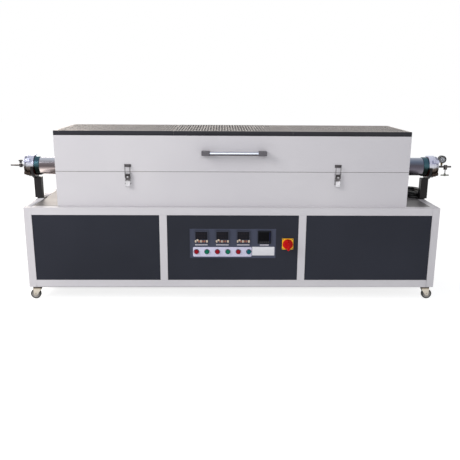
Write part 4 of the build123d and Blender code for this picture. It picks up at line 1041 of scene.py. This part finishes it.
# ------------------------------------------------------------------ rivets and screws
def latch_fasteners():
    """Rivets of the latch bases and the keepers, and the eye on each lever's pivot."""
    rivet = [(0, 0), (1.9, 0), (1.8, 0.4), (1.1, 0.85), (0, 1.0)]
    sheet_front, lever_front = BODY_FRONT - 3.0, BODY_FRONT - 17.0
    base_places = [(side * LATCH_X + x, sheet_front, z)
                   for side in (-1, 1) for x in (-14.2, 14.2) for z in (642.0, 660.0)]
    piece("latch_rivets", heads(rivet, base_places, TO_FRONT), latch_steel, "base")
    eye = [(0, 0), (4.2, 0), (4.1, 0.5), (3.4, 0.9), (1.6, 0.9), (1.4, 0.5), (0, 0.5)]
    for name, side in (("left", -1), ("right", 1)):
        piece(f"{name}_lever_eye", lathe(eye, (side * LATCH_X, lever_front, 679.0), TO_FRONT, 28),
              latch_plate_steel, f"{name}_latch_lever")
    keeper_places = [(side * LATCH_X + x, sheet_front, 742.3) for side in (-1, 1) for x in (-7.5, 7.5)]
    piece("keeper_rivets", heads(rivet, keeper_places, TO_FRONT), latch_steel, "lid")


def socket_screws():
    """Socket screws of the rear and end panels, and of both leaves of each hinge."""
    screw = [(0, 0), (2.9, 0), (2.8, 0.6), (2.1, 1.3), (1.4, 1.5), (1.2, 1.4), (1.2, 0.6), (0, 0.6)]
    heights = (130.0, 470.0)
    across = (-1050.0, -725.0, -400.0, -340.0, 0.0, 340.0, 400.0, 725.0, 1050.0)
    forms = [heads(screw, [(x, REAR - 2.0, z) for x in across for z in heights], TO_REAR)]
    for side in (-1, 1):
        places = [(side * SIDE_PANEL, y, z) for y in (-195.0, 22.5, 240.0) for z in heights]
        forms.append(heads(screw, places, (side, 0, 0)))
    piece("panel_screws", joined(*forms), hinge_steel, "base")
    for body, way in (("base", -1), ("lid", 1)):
        places = [(x + offset, BODY_REAR + 3.0, PARTING + way * 22.0)
                  for x in (-800.0, -280.0, 280.0, 800.0) for offset in (-45.0, 0.0, 45.0)]
        piece(f"hinge_screws_{body}", heads(screw, places, TO_REAR), hinge_steel, body)


latch_fasteners()
socket_screws()


# ------------------------------------------------------------------ tube ends and gas fittings
def thumb_screw_grips():
    """Knurled sleeves and end discs: axis + 68 * (cos t, sin t), t = 30, 150, 210 and 330 degrees."""
    circle = 68.0
    sleeve = [(8.6, 1.6), (9.5, 1.6, 1), (9.7, 2.2, 1), (9.7, 10.8, 1), (9.5, 11.4, 1), (8.6, 11.4)]
    disc = [(0, 0), (5.2, 0), (5.0, 0.5), (3.6, 0.9), (0, 1.0)]
    for name, side in (("left", -1), ("right", 1)):
        forms = []
        for angle in (30.0, 150.0, 210.0, 330.0):
            y = AXIS_Y + circle * cos(radians(angle))
            z = PARTING + circle * sin(radians(angle))
            forms.append(lathe(sleeve, (side * 1134.5, y, z), (side, 0, 0), 72, 18, 0.7, True))
            forms.append(lathe(disc, (side * 1147.5, y, z), (side, 0, 0), 24))
        piece(f"{name}_thumb_screw_grips", joined(*forms), turned_steel, f"{name}_cap")


def needle_valve_knob():
    """Knurled knob over the needle valve's stem."""
    knob = [(0, 15.0), (2.55, 15.0), (2.55, 0), (8.0, 0), (8.25, 0.3), (6.6, 2.6), (5.4, 5.4), (4.95, 7.65),
            (8.4, 7.7), (10.6, 9.4, 1), (11.0, 10.4, 1), (11.0, 15.4, 1), (10.4, 16.4, 1), (8.8, 16.9),
            (6.0, 17.0), (0, 16.7)]
    piece("needle_valve_knob", lathe(knob, (-1184.0, AXIS_Y, 718.0), UP, 80, 20, 0.9), black_plastic,
          "left_valve_knob", ["left_valve_knob"])


def dial_lines(radius_in, radius_out, turns):
    """Lines from the dial's middle outward: (r cos t, r sin t) from the inner to the outer radius."""
    return [((GAUGE_X + radius_in * cos(t), GAUGE_Z + radius_in * sin(t)),
             (GAUGE_X + radius_out * cos(t), GAUGE_Z + radius_out * sin(t))) for t in turns]


def gauge():
    """Pressure gauge: dial, inner ring, plain scale with its hand at rest, glass, and a brass neck."""

    def disc(profile, face, steps=48, closed=False):
        """A form turned round the gauge's middle, facing front from its back face."""
        return lathe(profile, (GAUGE_X, face, GAUGE_Z), TO_FRONT, steps, closed=closed)

    dial = disc([(0, 0), (18.9, 0), (18.9, 0.4), (0, 0.4)], 12.55)
    piece("gauge_dial", dial, dial_face, "right_cap")
    ring = disc([(13.6, 0), (18.9, 0), (18.9, 1.9), (15.4, 1.8), (13.8, 0.6)], 12.1, closed=True)
    piece("gauge_inner_ring", ring, gauge_paint, "right_cap")
    first, swing = 225.0, 270.0
    sweep = [radians(first - swing * k / 20) for k in range(21)]
    short = [turn for k, turn in enumerate(sweep) if k % 5]
    marks = [strokes((0, 12.15, 0), dial_lines(9.8, 12.9, sweep[::5]), 0.9, 0.1),
             strokes((0, 12.15, 0), dial_lines(11.3, 12.9, short), 0.5, 0.1),
             strokes((0, 11.6, 0), dial_lines(-3.5, 10.5, [radians(first)]), 1.1, 0.3),
             disc([(0, 0), (2.6, 0), (2.4, 0.7), (0, 0.9)], 12.1, 24)]
    piece("gauge_marks_and_hand", joined(*marks), dial_ink, "right_cap")
    glass = disc([(0, 0), (18.9, 0), (18.9, 0.4), (0, 0.7)], 10.1)
    piece("gauge_glass", glass, clear_glass, "right_cap")
    neck = lathe([(4.6, 0), (6.4, 0), (6.4, 6.5), (4.6, 6.5)], (GAUGE_X, AXIS_Y, 717.0), UP, 6, closed=True)
    piece("gauge_neck", neck, brass, "right_cap")


thumb_screw_grips()
needle_valve_knob()
gauge()


# ------------------------------------------------------------------ casters
def casters():
    """Tyre, hub and axle ends of each wheel, and the bolts of each plate.

    Hub = swivel axis + trail * (cos t, sin t), where t is the turn of the fork.
    """
    half_width, plate_low = 10.0, 76.0
    tread = [(20.4, 0.8), (24.6, 0.2), (26.4, 0.9), (27.3, 2.4), (27.5, 4.0), (27.5, 16.0), (27.3, 17.6),
             (26.4, 19.1), (24.6, 19.8), (20.4, 19.2)]
    core = [(4.1, 0.2), (8.0, 0.2), (8.6, 0.8), (9.4, 4.0), (16.6, 5.0), (18.6, 2.2), (20.5, 1.2),
            (20.5, 18.8), (18.6, 17.8), (16.6, 15.0), (9.4, 16.0), (8.6, 19.2), (8.0, 19.8), (4.1, 19.8)]
    washer = [(0, 0), (6.6, 0), (6.6, 0.9), (4.6, 1.0), (4.6, 2.6), (3.6, 3.2), (0, 3.4)]
    bolt = [(0, 0), (3.4, 0), (3.4, 1.9), (3.0, 2.2), (0, 2.2)]
    spots = {   # swivel axis, turn of the fork in degrees, and how far the hub lies from the axis
        "left_front": (-1075.0, -202.5, 0.0, -6.0),
        "right_front": (1075.0, -202.5, 180.0, -6.0),
        "left_rear": (-1075.0, 247.5, 0.0, 0.0),
        "right_rear": (1075.0, 247.5, 0.0, 0.0),
    }
    bolt_places = []
    for name, (x, y, turn, trail) in spots.items():
        ahead_way = np.array((cos(radians(turn)), sin(radians(turn)), 0.0))
        axle = np.array((-sin(radians(turn)), cos(radians(turn)), 0.0))
        hub = np.array((x, y, WHEEL_RADIUS)) + trail * ahead_way
        inside = hub - half_width * axle
        wheel = f"{name}_wheel"
        piece(f"{name}_tyre", lathe(tread, inside, axle, 56, closed=True), tyre_rubber, wheel,
              [wheel])
        piece(f"{name}_hub", lathe(core, inside, axle, 40, closed=True), core_plastic, wheel,
              [wheel])
        ends = [lathe(washer, hub + 15.0 * way * axle, way * axle, 6 if way > 0 else 20) for way in (-1, 1)]
        piece(f"{name}_axle_ends", joined(*ends), caster_zinc, f"{name}_fork" if trail else "base")
        bolt_places += [(x + a, y + b, plate_low) for a in (-19.5, 19.5) for b in (-19.5, 19.5)]
    piece("caster_bolts", heads(bolt, bolt_places, DOWN, 6), caster_zinc, "base")


casters()


# ------------------------------------------------------------------ cable fittings
def cable_boot():
    """Ribbed sleeve round the cable, on top of its gland."""
    boot = [(6.1, 0), (8.6, 0), (9.0, 0.8), (9.0, 3.6), (8.2, 4.4), (8.2, 6.4), (8.7, 7.2), (8.6, 9.8),
            (7.8, 10.6), (7.8, 12.6), (8.3, 13.4), (8.2, 16.0), (7.4, 16.8), (7.4, 18.8), (7.9, 19.6),
            (7.8, 22.2), (7.1, 23.0), (7.0, 30.0), (6.7, 32.0), (6.2, 32.4)]
    piece("cable_boot", lathe(boot, (*GLAND, FRAME_TOP + 29.6), UP, 32, closed=True), black_plastic, "base")


def tie(x, low, high, thick, width):
    """Cable tie round the coil's section: two rounded outlines, width apart along Y, joined to a band."""
    rings = []
    for grow, shift in ((0.0, -0.5), (thick, -0.5), (thick, 0.5), (0.0, 0.5)):
        a, b = outline((high[0] - low[0]) / 2 + grow, (high[1] - low[1]) / 2 + grow, 5.0 + grow)
        rings.append(np.stack([x + a, np.full(len(a), COIL[1] + shift * width), (low[1] + high[1]) / 2 + b],
                              -1))
    return np.concatenate(rings), quads(4, len(rings[0]), True, True).tolist()


cable_boot()
ties = [tie(COIL[0] + side * 53.4, (-12.6, FRAME_TOP + 0.2), (12.6, 557.0), 0.9, 4.0) for side in (-1, 1)]
piece("coil_ties", joined(*ties), black_plastic, "base")


# ------------------------------------------------------------------ camera
def studio_camera():
    """The camera in front of the object, pitched down, turned and leaned a little, in radians."""
    pitch, yaw, roll = 0.24748, -0.01843, 0.00649
    place = (-0.06446, -3.27524, 1.16393)
    level_right = Vector((cos(yaw), sin(yaw), 0.0))
    level_ahead = Vector((-sin(yaw), cos(yaw), 0.0))
    ahead = level_ahead * cos(pitch) - Vector((0, 0, sin(pitch)))
    above = level_ahead * sin(pitch) + Vector((0, 0, cos(pitch)))
    right = level_right * cos(roll) + above * sin(roll)
    up = -level_right * sin(roll) + above * cos(roll)
    data = bpy.data.cameras.new("studio camera")
    data.sensor_width = 36.0
    data.lens = 45.96
    data.shift_x = -0.002817
    data.shift_y = 0.000663
    camera = shown("studio camera", data)
    camera.matrix_world = Matrix((
        (right.x, up.x, -ahead.x, place[0]),
        (right.y, up.y, -ahead.y, place[1]),
        (right.z, up.z, -ahead.z, place[2]),
        (0, 0, 0, 1),
    ))
    bpy.context.scene.camera = camera


# ------------------------------------------------------------------ light
def area_light(name, place, target, size, power, colour):
    """A flat light of a given width and height in metres, aimed at a target."""
    data = bpy.data.lights.new(name, "AREA")
    data.shape = "RECTANGLE"
    data.size, data.size_y = size
    data.energy = power
    data.color = colour
    made = shown(name, data)
    way = Vector(target) - Vector(place)
    made.rotation_euler = way.to_track_quat("-Z", "Y").to_euler()
    made.location = place


def studio_world():
    """Pale even light on the object, and plain white where the camera, a mirror or glass sees past it."""
    world = bpy.data.worlds.new("white studio")
    bpy.context.scene.world = world
    world.use_nodes = True
    sky = world.node_tree
    sky.nodes.clear()
    path = sky.nodes.new("ShaderNodeLightPath")
    direct = sky.nodes.new("ShaderNodeMath")
    direct.operation = "MAXIMUM"
    anyhow = sky.nodes.new("ShaderNodeMath")
    anyhow.operation = "MAXIMUM"
    backdrop = sky.nodes.new("ShaderNodeBackground")
    backdrop.inputs["Color"].default_value = (1.0, 1.0, 1.0, 1.0)
    ambient = sky.nodes.new("ShaderNodeBackground")
    ambient.inputs["Color"].default_value = (0.94, 0.96, 1.0, 1.0)
    ambient.inputs["Strength"].default_value = 0.48
    chosen = sky.nodes.new("ShaderNodeMixShader")
    out = sky.nodes.new("ShaderNodeOutputWorld")
    for source, target in (
        (path.outputs["Is Camera Ray"], direct.inputs[0]),
        (path.outputs["Is Glossy Ray"], direct.inputs[1]),
        (direct.outputs[0], anyhow.inputs[0]),
        (path.outputs["Is Transmission Ray"], anyhow.inputs[1]),
        (anyhow.outputs[0], chosen.inputs["Fac"]),
        (ambient.outputs[0], chosen.inputs[1]),
        (backdrop.outputs[0], chosen.inputs[2]),
        (chosen.outputs[0], out.inputs["Surface"]),
    ):
        sky.links.new(source, target)


def white_floor():
    """Floor sheet whose lit part stays paper white and whose shade is kept."""
    reach = 14.0
    corners = [(-reach, -reach, 0), (reach, -reach, 0), (reach, reach, 0), (-reach, reach, 0)]
    mesh = bpy.data.meshes.new("studio_floor")
    mesh.from_pydata(corners, [], [(0, 1, 2, 3)])
    made = shown("studio_floor", mesh)
    finish = Finish("paper floor", roughness=0.9, Specular_IOR_Level=0.0)
    path = finish.add("ShaderNodeLightPath")
    seen = finish.reckon("MAXIMUM", path.outputs["Is Camera Ray"], path.outputs["Is Glossy Ray"])
    seen = finish.reckon("MAXIMUM", seen, path.outputs["Is Transmission Ray"])
    paper = finish.ramp(finish.noise(3.0, 3.0), (0.0, (228, 228, 228)), (1.0, (232, 232, 232)))
    bounced_grey = (0.42, 0.42, 0.42, 1.0)
    finish.colour(finish.mixed(seen, paper, bounced_grey))
    finish.shader.inputs["Emission Color"].default_value = (1.0, 1.0, 1.0, 1.0)
    finish.join(finish.reckon("MULTIPLY", seen, 0.82), finish.shader.inputs["Emission Strength"])
    mesh.materials.append(finish.material)


studio_camera()
area_light("left softbox", (-3.6, -2.6, 3.0), (-0.3, 0.0, 0.55), (2.2, 2.2), 118.0, (1.0, 0.995, 0.985))
area_light("front fill", (0.2, -4.2, 2.2), (0.1, 0.0, 0.5), (2.0, 1.8), 36.0, (0.97, 0.98, 1.0))
area_light("back left softbox", (-2.6, 2.8, 2.3), (-0.6, 0.0, 0.9), (2.2, 1.2), 84.0, (1.0, 0.89, 0.79))
studio_world()
white_floor()
bpy.context.scene.view_settings.view_transform = "Standard"
